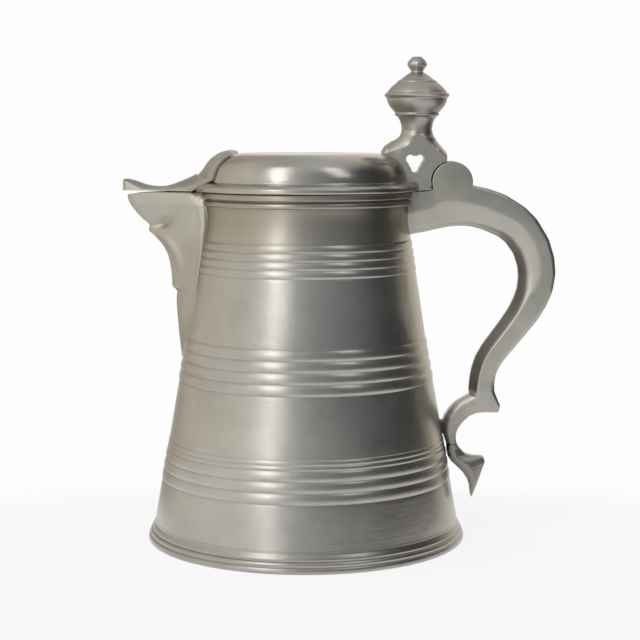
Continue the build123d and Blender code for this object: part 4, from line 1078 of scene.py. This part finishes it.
def make_world():
    """Room round the jug: brightness by compass direction, an even ceiling, and a white backdrop."""
    world = bpy.data.worlds.new("studio")
    tree = fresh_tree(world)
    spot = node(tree, "TexCoord").outputs["Generated"]
    way = node(tree, "SeparateXYZ", {0: spot}).outputs
    turn = worked(tree, "ARCTAN2", way["X"], way["Y"])
    share = ranged(tree, turn, -math.pi, math.pi)
    ramp = node(tree, "ValToRGB", {0: share})
    stops = ramp.color_ramp
    stops.interpolation = "EASE"
    for at, _ in ROOM[1:-1]:
        stops.elements.new(at)
    for stop, (at, color) in zip(list(stops.elements), ROOM):
        stop.position = at
        stop.color = (*[c / ROOM_PEAK for c in color], 1)
    # towards the ceiling the directions melt into one even tone
    high = ranged(tree, way["Z"], 0.62, 0.98, smooth=True)
    even = (*[c / ROOM_PEAK for c in CEILING], 1)
    ceiling = mixed(tree, high, ramp.outputs[0], even)
    room = node(tree, "Background", {"Color": ceiling, "Strength": ROOM_PEAK})
    # the backdrop is white to the eye, and metal shows it too where it looks straight back
    white = {"Color": (0.985, 0.985, 0.985, 1), "Strength": 1.0}
    seen = node(tree, "Background", white)
    path = node(tree, "LightPath").outputs
    back = ranged(tree, way["Y"], 0.90, 0.985, smooth=True)
    shine = worked(tree, "MAXIMUM", path["Is Glossy Ray"], path["Is Transmission Ray"])
    shown = worked(tree, "MULTIPLY", shine, back)
    either = worked(tree, "MAXIMUM", shown, path["Is Camera Ray"])
    mix = node(tree, "MixShader", {0: either, 1: room.outputs[0], 2: seen.outputs[0]})
    node(tree, "OutputWorld", {0: mix.outputs[0]})
    return world


def make_floor():
    """Pale floor: an oval patch whose edge melts into the backdrop, and which keeps the jug's shadow."""
    mesh = bpy.data.meshes.new("table_top")
    mesh.from_pydata([(-1.2, -1.0, 0), (1.2, -1.0, 0), (1.2, 0.5, 0), (-1.2, 0.5, 0)], [], [(0, 1, 2, 3)])
    floor = placed("table_top", mesh)
    material = bpy.data.materials.new("table top")
    tree = fresh_tree(material)
    # seen by the eye or in the metal it is mostly its own pale light, so that it stays even
    matt = node(tree, "BsdfDiffuse", {"Color": (0.9, 0.9, 0.9, 1)})
    pale = node(tree, "Emission", {"Color": (1, 1, 1, 1), "Strength": 1.0})
    path = node(tree, "LightPath").outputs
    shine = worked(tree, "MAXIMUM", path["Is Glossy Ray"], path["Is Transmission Ray"])
    either = worked(tree, "MAXIMUM", path["Is Camera Ray"], shine)
    part = worked(tree, "MULTIPLY", either, 0.84)
    lit = node(tree, "MixShader", {0: part, 1: matt.outputs[0], 2: pale.outputs[0]})
    # towards the oval's edge it is see-through
    spot = node(tree, "TexCoord").outputs["Object"]
    oval = {"Vector": spot, "Location": (0, 0.667, 0), "Scale": (1 / 0.60, 1 / 0.45, 1)}
    inside = node(tree, "Mapping", oval).outputs[0]
    reach = node(tree, "VectorMath", {0: inside}, operation="LENGTH").outputs["Value"]
    edge = ranged(tree, reach, 0.82, 1.0, smooth=True)
    clear = node(tree, "BsdfTransparent")
    mix = node(tree, "MixShader", {0: edge, 1: lit.outputs[0], 2: clear.outputs[0]})
    node(tree, "OutputMaterial", {0: mix.outputs[0]})
    floor.data.materials.append(material)
    return floor


class JUG_PT_panel(bpy.types.Panel):
    """Builders of the jug, in order"""

    bl_label = "Lidded jug"
    bl_space_type = "VIEW_3D"
    bl_region_type = "UI"
    bl_category = "Jug"

    def draw(self, context):
        for maker in MAKERS:
            self.layout.operator(maker.bl_idname)


MAKERS = (JUG_OT_walls, JUG_OT_spout, JUG_OT_lid, JUG_OT_knob, JUG_OT_grip, JUG_OT_stage)
CLASSES = (JugSizes, JugFinish) + MAKERS + (JUG_PT_panel,)


def register():
    """Adds the jug's settings, operators and panel."""
    for item in CLASSES:
        bpy.utils.register_class(item)
    bpy.types.Scene.jug_sizes = PointerProperty(type=JugSizes)
    bpy.types.Scene.jug_finish = PointerProperty(type=JugFinish)


def unregister():
    """Takes them away again."""
    del bpy.types.Scene.jug_finish
    del bpy.types.Scene.jug_sizes
    for item in reversed(CLASSES):
        bpy.utils.unregister_class(item)


def main():
    """Builds the jug on its frame."""
    register()
    for maker in MAKERS:
        group, name = maker.bl_idname.split(".")
        getattr(getattr(bpy.ops, group), name)()


if __name__ == "__main__":
    main()
